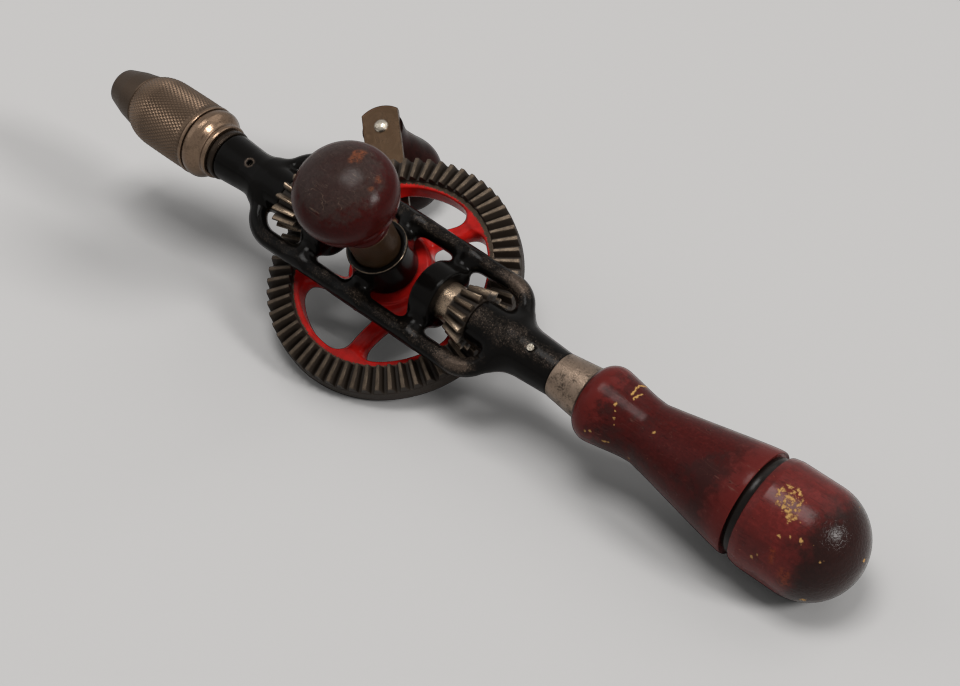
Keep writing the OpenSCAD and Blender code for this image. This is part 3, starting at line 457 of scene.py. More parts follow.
class Finish:
    """One node material that reads the drill's own axes in millimetres."""

    def __init__(self, name):
        self.material = bpy.data.materials.new(name)
        self.material.use_nodes = True
        self.tree = self.material.node_tree
        self.shader = self.tree.nodes["Principled BSDF"]
        back = AXES.to_3x3().transposed()
        source = self.node("ShaderNodeTexCoord").outputs["Object"]
        place = self.node("ShaderNodeMapping")
        place.inputs["Scale"].default_value = (1000, 1000, 1000)
        place.inputs["Rotation"].default_value = back.to_euler("XYZ")
        place.inputs["Location"].default_value = -1000 * (back @ AXES.translation)
        self.link(source, place.inputs["Vector"])
        self.at = place.outputs["Vector"]
        parts = self.node("ShaderNodeSeparateXYZ")
        self.link(self.at, parts.inputs[0])
        self.x, self.y, self.z = parts.outputs

    def node(self, kind, **settings):
        made = self.tree.nodes.new(kind)
        for key, value in settings.items():
            setattr(made, key, value)
        return made

    def link(self, source, socket):
        self.tree.links.new(source, socket)

    def put(self, socket, value):
        if isinstance(value, bpy.types.NodeSocket):
            self.link(value, socket)
        elif isinstance(value, (int, float)):
            socket.default_value = value
        else:
            socket.default_value = (*value, 1.0) if len(socket.default_value) == 4 else tuple(value)

    def set(self, **values):
        """Sets the shader's sockets; underscores stand for blanks."""
        for key, value in values.items():
            self.put(self.shader.inputs[key.replace("_", " ")], value)
        return self.material

    def stretched(self, scale, turn=(0.0, 0.0, 0.0)):
        """The drill's own axes drawn out or turned, for grain and scratches."""
        place = self.node("ShaderNodeMapping")
        place.inputs["Scale"].default_value = scale
        place.inputs["Rotation"].default_value = [math.radians(angle) for angle in turn]
        self.link(self.at, place.inputs["Vector"])
        return place.outputs["Vector"]

    def noise(self, scale, detail=3.0, rough=0.55, at=None, distortion=0.0, output="Fac"):
        made = self.node("ShaderNodeTexNoise")
        self.link(at or self.at, made.inputs["Vector"])
        made.inputs["Scale"].default_value = scale
        made.inputs["Detail"].default_value = detail
        made.inputs["Roughness"].default_value = rough
        made.inputs["Distortion"].default_value = distortion
        return made.outputs[output]

    def cells(self, scale, at=None):
        """Distance to the edges of a net of cells."""
        made = self.node("ShaderNodeTexVoronoi", feature="DISTANCE_TO_EDGE")
        self.link(at or self.at, made.inputs["Vector"])
        made.inputs["Scale"].default_value = scale
        return made.outputs["Distance"]

    def calc(self, operation, a, b=0.0, c=0.0, clamp=False):
        made = self.node("ShaderNodeMath", operation=operation, use_clamp=clamp)
        for socket, value in zip(made.inputs, (a, b, c)):
            self.put(socket, value)
        return made.outputs[0]

    def times(self, a, b):
        return self.calc("MULTIPLY", a, b)

    def times_plus(self, a, b, c):
        return self.calc("MULTIPLY_ADD", a, b, c)

    def minus(self, a, b):
        return self.calc("SUBTRACT", a, b)

    def shaken(self, noise, amount, value):
        """A value moved up and down by noise."""
        return self.times_plus(self.minus(noise, 0.5), amount, value)

    def vector(self, operation, a, b=(0.0, 0.0, 0.0), scale=None):
        made = self.node("ShaderNodeVectorMath", operation=operation)
        self.put(made.inputs[0], a)
        if scale is None:
            self.put(made.inputs[1], b)
        else:
            self.put(made.inputs["Scale"], scale)
        return made.outputs["Value" if operation in ("DISTANCE", "DOT_PRODUCT", "LENGTH") else "Vector"]

    def step(self, value, low, high, to_low=0.0, to_high=1.0):
        made = self.node("ShaderNodeMapRange", interpolation_type="SMOOTHSTEP")
        for socket, given in zip(("Value", "From Min", "From Max", "To Min", "To Max"),
                                 (value, low, high, to_low, to_high)):
            self.put(made.inputs[socket], given)
        return made.outputs["Result"]

    def mix(self, fac, a, b):
        made = self.node("ShaderNodeMix", data_type="RGBA")
        for place, value in ((0, fac), (6, a), (7, b)):
            ready = isinstance(value, (bpy.types.NodeSocket, float))
            self.put(made.inputs[place], value if ready else tuple(value))
        return made.outputs[2]

    def attribute(self, name):
        return self.node("ShaderNodeAttribute", attribute_name=name).outputs["Fac"]

    def radius(self, a, b):
        """Distance from an axis."""
        return self.calc("SQRT", self.times_plus(a, a, self.times(b, b)))

    def ragged(self, amount, scale):
        """The drill's own axes shaken by noise, so that what is drawn with them has torn edges."""
        around = self.vector("SUBTRACT", self.noise(scale, 4, 0.65, output="Color"), (0.5, 0.5, 0.5))
        return self.vector("ADD", self.at, self.vector("SCALE", around, scale=amount))

    def spot(self, at, centre, radius, soft=0.15):
        """1 inside a spot."""
        return self.step(self.vector("DISTANCE", at, centre), radius - soft, radius + soft, 1.0, 0.0)

    def stroke(self, at, points, width, soft=0.15):
        """1 along a line through the points."""
        near = None
        for a, b in zip(points, points[1:]):
            run = Vector(b) - Vector(a)
            off = self.vector("SUBTRACT", at, a)
            share = self.vector("DOT_PRODUCT", off, tuple(run / run.length_squared))
            share = self.calc("ADD", share, 0.0, clamp=True)
            far = self.vector("DISTANCE", off, self.vector("SCALE", tuple(run), scale=share))
            near = far if near is None else self.calc("MINIMUM", near, far)
        return self.step(near, width - soft, width + soft, 1.0, 0.0)

    def most(self, *values):
        best = values[0]
        for value in values[1:]:
            best = self.calc("MAXIMUM", best, value)
        return best

    def scratches(self, scale, turn, width=0.012):
        """Thin lines drawn out one way, broken up by a patchy mask."""
        lines = self.noise(scale, 1, 0.4, at=self.stretched((0.035, 1.0, 1.0), turn))
        thin = self.step(self.calc("ABSOLUTE", self.minus(lines, 0.5)), 0.0, width, 1.0, 0.0)
        return self.times(thin, self.step(self.noise(0.16, 3), 0.46, 0.62))

    def bump(self, height, distance, strength=1.0):
        made = self.node("ShaderNodeBump")
        made.inputs["Strength"].default_value = strength
        made.inputs["Distance"].default_value = distance
        self.link(height, made.inputs["Height"])
        self.link(made.outputs["Normal"], self.shader.inputs["Normal"])


def tint(colour, factor):
    return tuple(min(1.0, c * factor) for c in colour)


def japanned_iron():
    """Gloss black japan over cast iron, worn to brown metal along the ridges and on the tail's top, where it
    is partly painted sheen, with bare steel on the rims that is partly a painted highlight.
    """
    f, c = Finish("japanned_iron"), colours()
    patches, fine, specks = f.noise(0.16, 4), f.noise(1.1, 5, 0.62), f.noise(2.4, 2)
    # The 'worn' attribute holds real wear and, on the tail's top, painted sheen.
    rub = f.times_plus(patches, 0.9, f.attribute("worn"))
    rub = f.times_plus(fine, 0.7, rub)
    thin = f.step(rub, 1.0, 1.45)
    worn = f.step(rub, 1.3, 1.55)
    pits = f.times(f.step(specks, 0.58, 0.68), f.step(rub, 1.05, 1.3))
    # Painted highlight, partly a worn edge: bare steel in thin lines where the 'rim' attribute is high.
    bright = f.step(f.times_plus(fine, 0.7, f.attribute("rim")), 0.95, 1.25)
    colour = f.mix(f.times(thin, 0.8), c.japan, tint(c.worn_iron, 0.32))
    colour = f.mix(worn, colour, f.mix(fine, tint(c.worn_iron, 0.5), tint(c.worn_iron, 1.5)))
    colour = f.mix(f.times(pits, 0.8), colour, tint(c.worn_iron, 2.8))
    greasy = f.step(f.times_plus(fine, 0.5, f.attribute("grease")), 0.5, 1.1)
    colour = f.mix(greasy, colour, f.mix(fine, tint(c.grease, 0.7), tint(c.grease, 2.4)))
    colour = f.mix(bright, colour, c.steel)
    bare = f.most(worn, bright, f.times(pits, 0.8))
    f.bump(f.times_plus(fine, 0.5, f.times(f.most(worn, pits), -0.4)), 0.00022, 0.5)
    return f.set(Base_Color=colour, Metallic=f.times(bare, 0.55), Specular_IOR_Level=0.07,
                 Roughness=f.times_plus(thin, 0.2, f.step(fine, 0.2, 0.9, 0.10, 0.20)))


def red_enamel():
    """Gloss red enamel inside a bare brown edge beside the teeth, chipped, with dirt and painted shade in the
    hollows.
    """
    f, c = Finish("red_enamel"), colours()
    patches, fine = f.noise(0.2, 4), f.noise(1.6, 5, 0.6)
    chip = f.step(f.times_plus(f.noise(0.55, 5, 0.65), 1.3, f.attribute("worn")), 1.2, 1.26)
    r = f.radius(f.x, f.y)
    lean = f.calc("DIVIDE", f.times_plus(f.x, 0.5, f.times(f.y, 0.87)), r)
    edge = f.calc("ADD", r, f.step(lean, 0.2, 0.9, 0.0, 1.2))
    edge = f.shaken(fine, 2.6, edge)
    chip = f.most(chip, f.step(edge, 41.3, 41.5))
    # Painted shade and dirt: the hollows, where the 'worn' attribute is low, are darkened towards a dark red.
    grime_and_shade = f.step(f.times_plus(patches, 0.8, f.times(f.attribute("worn"), -0.6)), 0.5, 0.95)
    red = f.mix(f.step(patches, 0.3, 0.7), tint(c.red, 0.75), tint(c.red, 1.15))
    red = f.mix(f.times(grime_and_shade, 0.5), red, GRIME_AND_SHADE_RED)
    f.bump(f.times_plus(chip, -0.6, f.times(fine, 0.5)), 0.0002, 0.5)
    return f.set(Base_Color=f.mix(chip, red, f.mix(fine, tint(c.grease, 1.2), tint(c.steel, 0.75))),
                 Metallic=f.times(chip, 0.5), Specular_IOR_Level=0.12,
                 Roughness=f.times_plus(fine, 0.2, 0.09))


def gear_steel():
    """Bare steel teeth, worn bright on their tips, with old grease at their roots and on the rim, and painted
    shade on the -y side.
    """
    f, c = Finish("gear_steel"), colours()
    fine, patches = f.noise(2.2, 5, 0.65), f.noise(0.35, 3)
    r = f.radius(f.x, f.y)
    height = f.calc("DIVIDE", f.times_plus(r, PITCH_SLOPE, f.z), f.times(r, MODULE_SLOPE))
    height = f.shaken(fine, 1.2, height)
    bright = f.step(height, 0.25, 0.95)
    steel = f.mix(f.step(patches, 0.35, 0.65), tint(c.steel, 0.6), tint(c.steel, 0.95))
    colour = f.mix(bright, f.mix(fine, tint(c.grease, 0.5), tint(c.grease, 1.6)), steel)
    # Painted shade: the teeth on the -y side are darkened towards the grease tone, by up to 35%.
    colour = f.mix(f.step(f.y, 25.0, -35.0, 0.0, 0.35), colour, tint(c.grease, 0.8))
    f.bump(fine, 0.00025, 0.5)
    return f.set(Base_Color=colour, Metallic=f.times_plus(bright, 0.75, 0.1), Specular_IOR_Level=0.3,
                 Roughness=f.step(bright, 0.0, 1.0, 0.6, 0.38))


def pinion_steel():
    """Bare steel pinion, bright on the tips and hub, brown between the teeth."""
    f, c = Finish("pinion_steel"), colours()
    fine, patches = f.noise(1.8, 5, 0.65), f.noise(0.4, 3)
    along = f.calc("ABSOLUTE", f.x)
    height = f.calc("DIVIDE", f.times_plus(along, -PITCH_SLOPE, f.radius(f.y, f.z)),
                    f.times(along, MODULE_SLOPE))
    height = f.shaken(fine, 1.2, height)
    hub = f.step(along, PINION_IN, PINION_IN - 1.2)
    bright = f.most(f.step(height, -0.3, 0.85), hub)
    steel = f.mix(patches, tint(c.steel, 1.2), tint(c.steel, 2.2))
    steel = f.mix(f.times(hub, 0.6), steel, tint(c.steel, 2.8))
    steel = f.mix(f.step(fine, 0.52, 0.68), steel, tint(c.steel, 0.45))
    f.bump(fine, 0.0002, 0.5)
    return f.set(Base_Color=f.mix(bright, tint(c.grease, 0.9), steel), Specular_IOR_Level=0.3,
                 Metallic=f.times_plus(bright, 0.8, 0.1), Roughness=f.step(bright, 0.0, 1.0, 0.55, 0.27))


def chuck_steel():
    """Tarnished chuck: a dull dark nose, a brown knurled barrel with a bright bead, and a polished ring."""
    f, c = Finish("chuck_steel"), colours()
    fine, patches = f.noise(1.4, 5, 0.65), f.noise(0.14, 4)
    nose = f.step(f.x, BARREL_FRONT + 0.5, BARREL_FRONT - 0.3)
    ring = f.step(f.x, SLEEVE_BACK - 1.9, SLEEVE_BACK - 1.5)
    sunk = f.minus(15.35, f.radius(f.y, f.z))
    groove = f.times(f.step(sunk, 0.08, 0.3), f.step(f.x, BARREL_FRONT + 8, BARREL_FRONT + 12))
    colour = f.mix(patches, tint(c.chuck, 0.85), tint(c.chuck, 1.2))
    groove = f.times(groove, f.minus(0.55, f.times(ring, 0.55)))
    colour = f.mix(groove, colour, tint(c.chuck, 0.35))
    colour = f.mix(f.times(nose, 0.85), colour, c.chuck_nose)
    colour = f.mix(f.times(f.step(fine, 0.5, 0.75), 0.4), colour, tint(c.chuck, 0.5))
    colour = f.mix(ring, colour, f.mix(f.step(fine, 0.45, 0.75), tint(c.chuck, 1.35), tint(c.chuck, 0.7)))
    f.bump(fine, 0.0001, 0.3)
    rough = f.times_plus(ring, -0.16, f.step(fine, 0.2, 0.8, 0.32, 0.44))
    return f.set(Base_Color=colour, Metallic=0.92, Roughness=f.times_plus(nose, 0.1, rough))


def scuffed_steel(name, colour, stain, pits=0.5, turn=(1.0, 1.0, 1.0), rough=(0.25, 0.5), metal=0.88):
    """Bare steel with stains, pits and fine scratches drawn out one way."""
    f = Finish(name)
    patches, fine = f.noise(0.22, 4), f.noise(1.6, 6, 0.7)
    lines = f.noise(2.4, 4, 0.6, at=f.stretched(turn))
    dark = f.step(f.times_plus(fine, 0.8, f.times(patches, 0.7)), 0.68, 0.95)
    base = f.mix(lines, tint(colour, 0.75), tint(colour, 1.25))
    f.bump(f.times_plus(dark, -0.8, lines), 0.00012, 0.5)
    return f.set(Base_Color=f.mix(f.times(dark, pits), base, stain), Metallic=metal,
                 Roughness=f.step(f.calc("ADD", dark, f.times(lines, 0.6)), 0.2, 1.4, *rough))


class Wood:
    """Stained, lacquered wood: faint grain, dark pores, darkened wear and chips to bare wood."""

    def __init__(self, name, colour, along, wear=0.8, gloss=0.08):
        self.f, c, self.gloss = Finish(name), colours(), gloss
        f = self.f
        short = tuple(share * 1.8 if share < 1 else share for share in along)
        self.patches, self.fine = f.noise(0.05, 5, 0.6), f.noise(1.5, 6, 0.7)
        self.mottle, self.speck = f.noise(0.28, 5, 0.68), f.noise(0.8, 6, 0.75)
        grain = f.noise(0.55, 5, 0.65, at=f.stretched(along))
        pores = f.noise(1.8, 2, 0.5, at=f.stretched(short))
        base = f.mix(f.step(grain, 0.32, 0.68), tint(colour, 0.82), tint(colour, 1.16))
        base = f.mix(f.step(self.speck, 0.38, 0.66), tint(colour, 0.7), base)
        deep = f.step(f.times_plus(self.mottle, 0.6, self.patches), 0.72, 0.92)
        old = f.mix(self.fine, tint(c.old_lacquer, 0.7), tint(c.old_lacquer, 1.4))
        base = f.mix(f.times(deep, wear), base, old)
        self.colour = f.mix(f.times(f.step(pores, 0.6, 0.7), 0.6), base, tint(colour, 0.3))
        self.bare = f.step(f.noise(0.62, 4, 0.6), 0.735, 0.755)
        self.torn = f.ragged(2.2, 0.7)

    def shade(self, amount, colour):
        self.colour = self.f.mix(amount, self.colour, colour)

    def chip(self, *spots, torn=3.2, level=0.72):
        """Bares the wood in the given spots and strokes, whose soft edges are torn by noise."""
        f, whole = self.f, self.f.most(*spots)
        flakes = f.step(f.shaken(self.speck, torn, whole), level, level + 0.1)
        self.bare = f.most(self.bare, f.times(flakes, f.step(whole, 0.02, 0.2)))

    def finish(self, crackle=None):
        f, c = self.f, colours()
        raw = f.mix(self.fine, tint(c.bare_wood, 0.55), tint(c.bare_wood, 1.2))
        height = f.times_plus(self.fine, 0.14, f.times(self.mottle, 0.7))
        height = f.times_plus(self.bare, -1.2, height)
        dull = f.step(self.mottle, 0.3, 0.75, 0.18, 0.31)
        if crackle is not None:
            net = f.step(f.cells(0.5, f.ragged(2.0, 0.6)), 0.0, 0.2)
            height = f.times_plus(f.times(net, crackle), 0.5, height)
            dull = f.times_plus(crackle, -0.07, dull)
        f.bump(height, 0.00015, 0.5)
        return f.set(Base_Color=f.mix(self.bare, self.colour, raw), Specular_IOR_Level=self.gloss,
                     Roughness=f.times_plus(self.bare, 0.35, dull))


def handle_wood():
    """Red lacquered grip with two pale strokes and a row of chips behind the ferrule."""
    wood = Wood("handle_wood", tuple(colours().lacquer), (0.05, 1.0, 1.0))
    f, torn = wood.f, wood.torn
    rim = f.step(f.shaken(wood.mottle, 22.0, f.x), GRIP_END - 12, GRIP_END - 3)
    shoulder = f.step(f.shaken(wood.mottle, 30.0, f.x), WOOD_START + 14, WOOD_START + 6)
    wood.shade(f.times(f.most(rim, shoulder), 0.7), tint(colours().lacquer, 1.9))
    wood.chip(f.stroke(torn, [(122.8, 5.7, 12.5), (121.7, 10.5, 9.1), (122.4, 13.1, 4.3)], 0.5, 0.4),
              f.stroke(torn, [(124.6, 4.5, 12.7), (124.9, 7.3, 11.2), (125.6, 9.0, 9.7)], 0.45, 0.4),
              f.stroke(torn, [(122.0, -13.0, 4.7), (124.4, -12.3, 5.5)], 0.45, 0.4), torn=1.4, level=0.6)
    wood.chip(*(f.spot(torn, at, r, 0.8 * r) for at, r in (
        ((120.7, -1.3, 14.0), 0.8), ((122.1, -3.3, 13.4), 0.5), ((123.2, -5.4, 12.6), 0.6),
        ((124.4, -7.2, 11.4), 0.6), ((138.6, -1.8, 13.4), 0.8), ((114.9, -13.7, 5.8), 0.9),
        ((116.8, -12.9, 6.8), 0.8), ((133.2, -12.7, 2.5), 0.8))), torn=2.0)
    wood.shade(f.times(f.scratches(0.45, (0, 0, 25), 0.010), 0.6), HANDLE_NICK)
    wood.shade(f.times(f.scratches(0.5, (0, 0, 40), 0.007), 0.6), HANDLE_SCRATCH)
    wood.shade(f.step(f.x, WOOD_START + 1.8, WOOD_START + 0.3), SEAM)
    return wood.finish()


def cap_wood():
    """Red lacquered cap with a torn pale patch, a black groove and a dark crackled end."""
    wood = Wood("cap_wood", tint(colours().lacquer, 2.1), (0.05, 1.0, 1.0), 0.4, 0.13)
    f, torn = wood.f, wood.torn
    end = f.shaken(wood.mottle, 14.0, f.shaken(wood.patches, 14.0, f.x))
    end = f.step(end, 199.0, 212.0)
    wood.shade(f.times(end, 0.95), f.mix(wood.speck, SOOT, BURNT_END))
    orange = f.most(f.stroke(torn, [(198.7, -14.1, 16.4), (199.6, -17.0, 13.4)], 0.8, 0.7),
                    f.stroke(torn, [(205.2, -17.6, 12.1), (205.9, -19.5, 8.4)], 1.8, 1.5))
    wood.shade(f.times(f.times(orange, f.step(wood.speck, 0.4, 0.6)), 0.8), CAP_ORANGE)
    wood.chip(f.stroke(torn, [(193.7, 7.0, 20.4), (190.7, 6.1, 20.7), (189.5, 2.7, 21.4), (191.6, -0.4, 21.6),
                              (195.4, -1.0, 21.6), (198.2, -3.0, 21.3)], 1.3, 1.2),
              f.stroke(torn, [(193.7, 7.0, 20.4), (197.1, 5.7, 20.8), (197.8, 1.4, 21.5), (196.4, -1.2, 21.6),
                              (200.0, -1.7, 21.5)], 1.3, 1.2),
              f.spot(torn, (194.0, 3.0, 21.4), 3.2, 3.0), torn=4.6, level=0.9)
    wood.chip(*(f.spot(torn, at, r, 0.8 * r) for at, r in (
        ((198.0, -9.4, 19.4), 0.8), ((201.4, -7.8, 20.1), 0.7), ((205.1, -6.9, 20.2), 1.0),
        ((192.8, -18.7, 10.9), 0.8), ((194.2, -17.5, 12.7), 0.7), ((213.4, -8.3, 16.2), 0.7),
        ((222.3, 3.3, 4.5), 0.9), ((212.7, -18.6, -0.3), 1.4))), torn=2.4)
    band = f.times(f.step(f.x, CAP_START - 0.6, CAP_START - 0.2),
                   f.step(f.x, CAP_START + 4.1, CAP_START + 3.8))
    wood.shade(band, f.mix(wood.speck, SOOT, GROOVE_DIRT))
    wood.bare = f.times(wood.bare, f.minus(1.0, band))
    return wood.finish(end)


def side_knob_wood():
    """Purple-brown knob, worn dull and scratched on top, with painted sheen in its lighter top tone, redder
    at its lower edge and neck.
    """
    wood = Wood("side_knob_wood", tuple(colours().knob), (1.0, 1.0, 0.06), 0.4)
    f, torn = wood.f, wood.torn
    low = f.shaken(wood.mottle, 16.0, f.z)
    wood.shade(f.times(f.scratches(0.45, (0, 0, -38), 0.010), 0.7), SEAM)
    wood.shade(f.times(f.scratches(0.40, (0, 0, 52), 0.007), 0.8), KNOB_SCRATCH)
    wood.shade(f.times(f.scratches(0.55, (0, 0, -20), 0.008), 0.6), KNOB_SCUFF)
    # Below about z 60 the knob turns to its red lacquer. The lighter top above it is partly painted sheen.
    wood.shade(f.times(f.step(low, 63.0, 57.0), 0.95), f.mix(wood.speck, KNOB_SHADE, KNOB_RED))
    orange = f.most(f.stroke(torn, [(1.8, 7.9, 64.8), (0.3, 11.4, 63.5), (1.5, 13.5, 62.4)], 1.2, 1.0),
                    f.stroke(torn, [(3.4, 9.3, 64.2), (1.5, 13.5, 62.4)], 1.0, 0.9),
                    f.spot(torn, (13.5, 8.0, 60.8), 1.1, 0.9), f.spot(torn, (14.0, 3.6, 61.7), 0.8, 0.7))
    wood.shade(f.times(f.times(orange, f.step(wood.speck, 0.36, 0.6)), 0.8), KNOB_ORANGE)
    wood.bare = f.times(wood.bare, 0.25)
    return wood.finish(0.3)


def crank_knob_wood():
    """Dark red-brown crank knob, darkened further by painted shade."""
    wood = Wood("crank_knob_wood", CRANK_WOOD_AND_SHADE, (1.0, 1.0, 0.06), 0.3, 0.03)
    f = wood.f
    wood.shade(f.times(f.step(wood.patches, 0.45, 0.65), 0.6), CRANK_PATCH)
    wood.shade(f.times(f.scratches(1.2, (0, 60, 20)), 0.3), CRANK_SCRATCH)
    wood.bare = f.times(wood.bare, 0.4)
    return wood.finish()


def bright_pin(name="bright_pin", share=1.0):
    """Worn bright pin ends and rivets. A lower share darkens a copy, which paints shade on a pin."""
    f = Finish(name)
    fine = f.noise(1.8, 5, 0.6)
    f.bump(fine, 0.00012, 0.4)
    light, dark = tint(PIN_LIGHT, share), tint(PIN_DARK, share)
    return f.set(Base_Color=f.mix(f.step(fine, 0.35, 0.7), light, dark), Metallic=0.95,
                 Roughness=f.step(fine, 0.2, 0.8, 0.16, 0.34))


# Operators


class DRILL_OT_frame(bpy.types.Operator):
    """Casts the loop frame with its fillets, boss, bearing rings and bores"""

    bl_idname = "drill.frame"
    bl_label = "Frame"

    def execute(self, context):
        fillet = sizes().fillet

        def field(x, y, z):
            rho = np.hypot(y, z)
            bend = np.where(x > 0, REAR_BEND, FRONT_BEND)
            qx = np.where(x > 0, x - REAR_CORNER, -x - FRONT_CORNER)
            qy = np.abs(y) - RAIL_Y + bend
            path = np.minimum(np.maximum(qx, qy), 0) + np.hypot(np.maximum(qx, 0), np.maximum(qy, 0)) - bend
            solid = np.hypot(path, z) - RAIL_R
            join = np.interp(np.abs(x), (58.0, 67.0), (2.2, 9.0))
            neck = np.interp(x, *NECK_PROFILE)
            solid = blend(solid, capped(rho - neck, x, NECK_FRONT, NECK_BACK), join)
            tail = np.interp(x, *TAIL_PROFILE)
            solid = blend(solid, capped(rho - tail, x, TAIL_FRONT, TAIL_END, 0.4), join)
            arms = np.full_like(x, NO_SOLID)
            for at, r in CROSS_BARS:
                arms = np.minimum(arms, np.maximum(np.hypot(x - at, z) - r, np.abs(y) - RAIL_Y))
            hubs = np.full_like(x, NO_SOLID)
            for low, high in BEARING_RINGS:
                hubs = np.minimum(hubs, capped(rho - RING_R, x, low, high, 0.8))
            boss = capped(np.hypot(x, y) - BOSS_R, z, BOSS_LOW, BOSS_HIGH, 0.7)
            solid = blend(solid, blend(arms, np.minimum(hubs, boss), fillet), fillet)
            for r, low, high in LONG_BORES:
                solid = carve(solid, capped(rho - r, x, low, high, 0.1))
            solid = carve(solid, np.hypot(x, y) - AXLE_BORE)
            solid = carve(solid, capped(np.hypot(x, y) - SEAT_R, z, 8.4, 12.0, 0.1))
            solid = carve(solid, np.hypot(x - TANG_PIN, y) - PIN_BORE, 0.2)
            return carve(solid, capped(np.hypot(x - OIL_HOLE, y) - OIL_R, z, 0.0, 20.0, 0.1), 0.7)

        def wear(points, normal, bulge):
            x, y, z = points.T
            up, out, rho = np.clip(normal[:, 2], 0, 1), np.hypot(x, y), np.hypot(y, z)
            ridge = np.clip((up - 0.55) / 0.35, 0, 1) * np.clip((np.abs(y) - 16.5) / 2, 0, 1)
            corner = np.exp(-((x - 56) / 9) ** 2) * np.clip((np.abs(y) - 9) / 4, 0, 1)
            corner = corner * np.clip(normal[:, 2] + 0.5, 0, 1)
            # Tail: the top of the tail is lightened to brown metal, partly real wear and partly painted
            # sheen.
            tail = np.clip((x - 46) / 6, 0, 1) * np.clip((up - 0.7) / 0.25, 0, 1) * (np.abs(y) < 9)
            hole = np.exp(-((np.hypot(x - OIL_HOLE, y) - 1.9) / 0.6) ** 2) * (z > 5)
            # Rim and bore: thin lines round the boss's top rim and the bearing rings' bore edges, partly worn
            # edges and partly painted highlight lines.
            rim = np.exp(-((z - 10.35) / 0.5) ** 2) * np.exp(-((out - 12.25) / 0.45) ** 2)
            bore = np.exp(-((np.abs(x) - 34.2) / 0.5) ** 2) * np.exp(-((rho - 8.5) / 0.6) ** 2)
            inner = np.clip((17.2 - np.abs(y)) / 1.5, 0, 1) * np.clip((61 - np.abs(x)) / 2, 0, 1)
            inner = inner * np.clip((np.abs(x) - 36) / 4, 0, 1)
            pocket = inner * np.clip((0.5 - normal[:, 2]) / 0.4, 0, 1) * np.clip((4.5 - z) / 3, 0, 1)
            worn = 0.34 * ridge + 0.45 * corner + 0.4 * tail + 0.8 * hole + 0.5 * np.clip(bulge, 0, 0.3)
            return {"worn": worn, "rim": rim + 0.6 * bore, "grease": pocket}

        mesh = casting("frame_casting", field, FRAME_LOW, FRAME_HIGH, sizes().casting_cell, wear)
        piece("frame_casting", mesh, japanned_iron(), "frame_group", ("frame",))
        return {"FINISHED"}


class DRILL_OT_gear(bpy.types.Operator):
    """Cuts the gear's teeth and casts its red spokes, lip and hub"""

    bl_idname = "drill.gear"
    bl_label = "Crank Gear"

    def execute(self, context):
        steel = gear_steel()
        shape = []
        for r in (GEAR_IN, GEAR_R):
            size = r * MODULE_SLOPE
            for sign, height in ((-1, -1.65), (1, -1.65), (1, 0.8), (-1, 0.8)):
                half = math.pi / 4 - BACKLASH - height * math.tan(PRESSURE_ANGLE)
                shape.append((r, sign * half * size, height * size - r * PITCH_SLOPE))
        faces = [(0, 1, 2, 3), (7, 6, 5, 4), (0, 4, 5, 1), (1, 5, 6, 2), (2, 6, 7, 3), (3, 7, 4, 0)]
        a = math.pi / GEAR_TEETH
        spun = [(r * math.cos(a) - s * math.sin(a), r * math.sin(a) + s * math.cos(a), z)
                for r, s, z in shape]
        teeth = repeated("gear_teeth", (spun, faces), GEAR_TEETH, (0, 0, 1), steel, sizes().tooth_edge)
        bore = 41.8
        rim = rounded([
            (bore, -16, 0), (bore, RIM_Z, 0.3), (RIM_R, RIM_Z, 1.2), (RIM_R, -RIM_R * ROOT_SLOPE, 0.3),
            (GEAR_IN, -GEAR_IN * ROOT_SLOPE, 0.3), (bore, LIP_Z - 0.3, 0.2), (bore, -16, 0)])[:-1]
        mesh = merged("gear_ring", mesh_of("gear_rim", turned(rim, "Z", ring=True)), teeth)
        piece("gear_ring", mesh, steel, "crank_group", ("drive_gear",))

        def field(x, y, z):
            r = np.hypot(x, y)
            lip = capped(np.abs(r - LIP_MIDDLE) - LIP_HALF, z, RIM_Z + 0.15, LIP_Z, 0.7)
            arms = np.full_like(x, NO_SOLID)
            for k in range(SPOKES):
                a = math.radians(FIRST_SPOKE + 360 // SPOKES * k)
                u = x * math.cos(a) + y * math.sin(a) - SPOKE_CENTRE
                v = y * math.cos(a) - x * math.sin(a) - SPOKE_BEND
                bend = np.degrees(np.arctan2(v, u))
                off = np.abs(np.hypot(u, v) - SPOKE_BEND) - SPOKE_HALF
                span = np.maximum(bend + 88, -135 - bend) * math.pi / 180 * SPOKE_BEND
                arms = np.minimum(arms, np.maximum(capped(off, z, -19.5, -13.3, 2.4), span))
            hub = capped(r - HUB_R, z, CRANK_TOP, HUB_TOP, 1.2)
            solid = blend(blend(arms, hub, 7.0), lip, 8.0)
            solid = np.maximum(solid, r - 43.0)
            faces_off = np.maximum(RIM_Z + 0.15 - z, z - LIP_Z) - 8.0 * np.clip((34 - r) / 8, 0, 1)
            return carve(np.maximum(solid, faces_off), r - AXLE_BORE)

        def wear(points, normal, bulge):
            # 'worn' holds edge wear and convexity. It goes negative in the hollows, where red_enamel paints
            # dirt and shade.
            edge = np.exp(-((np.hypot(points[:, 0], points[:, 1]) - 41.0) / 2.0) ** 2)
            return {"worn": np.clip(0.22 * edge + 2.2 * bulge, -1, 1)}

        mesh = casting("gear_spokes", field, (-44, -44, -24), (44, 44, -6.5), sizes().casting_cell, wear)
        piece("gear_spokes", mesh, red_enamel(), "crank_group", ("drive_gear",))
        return {"FINISHED"}


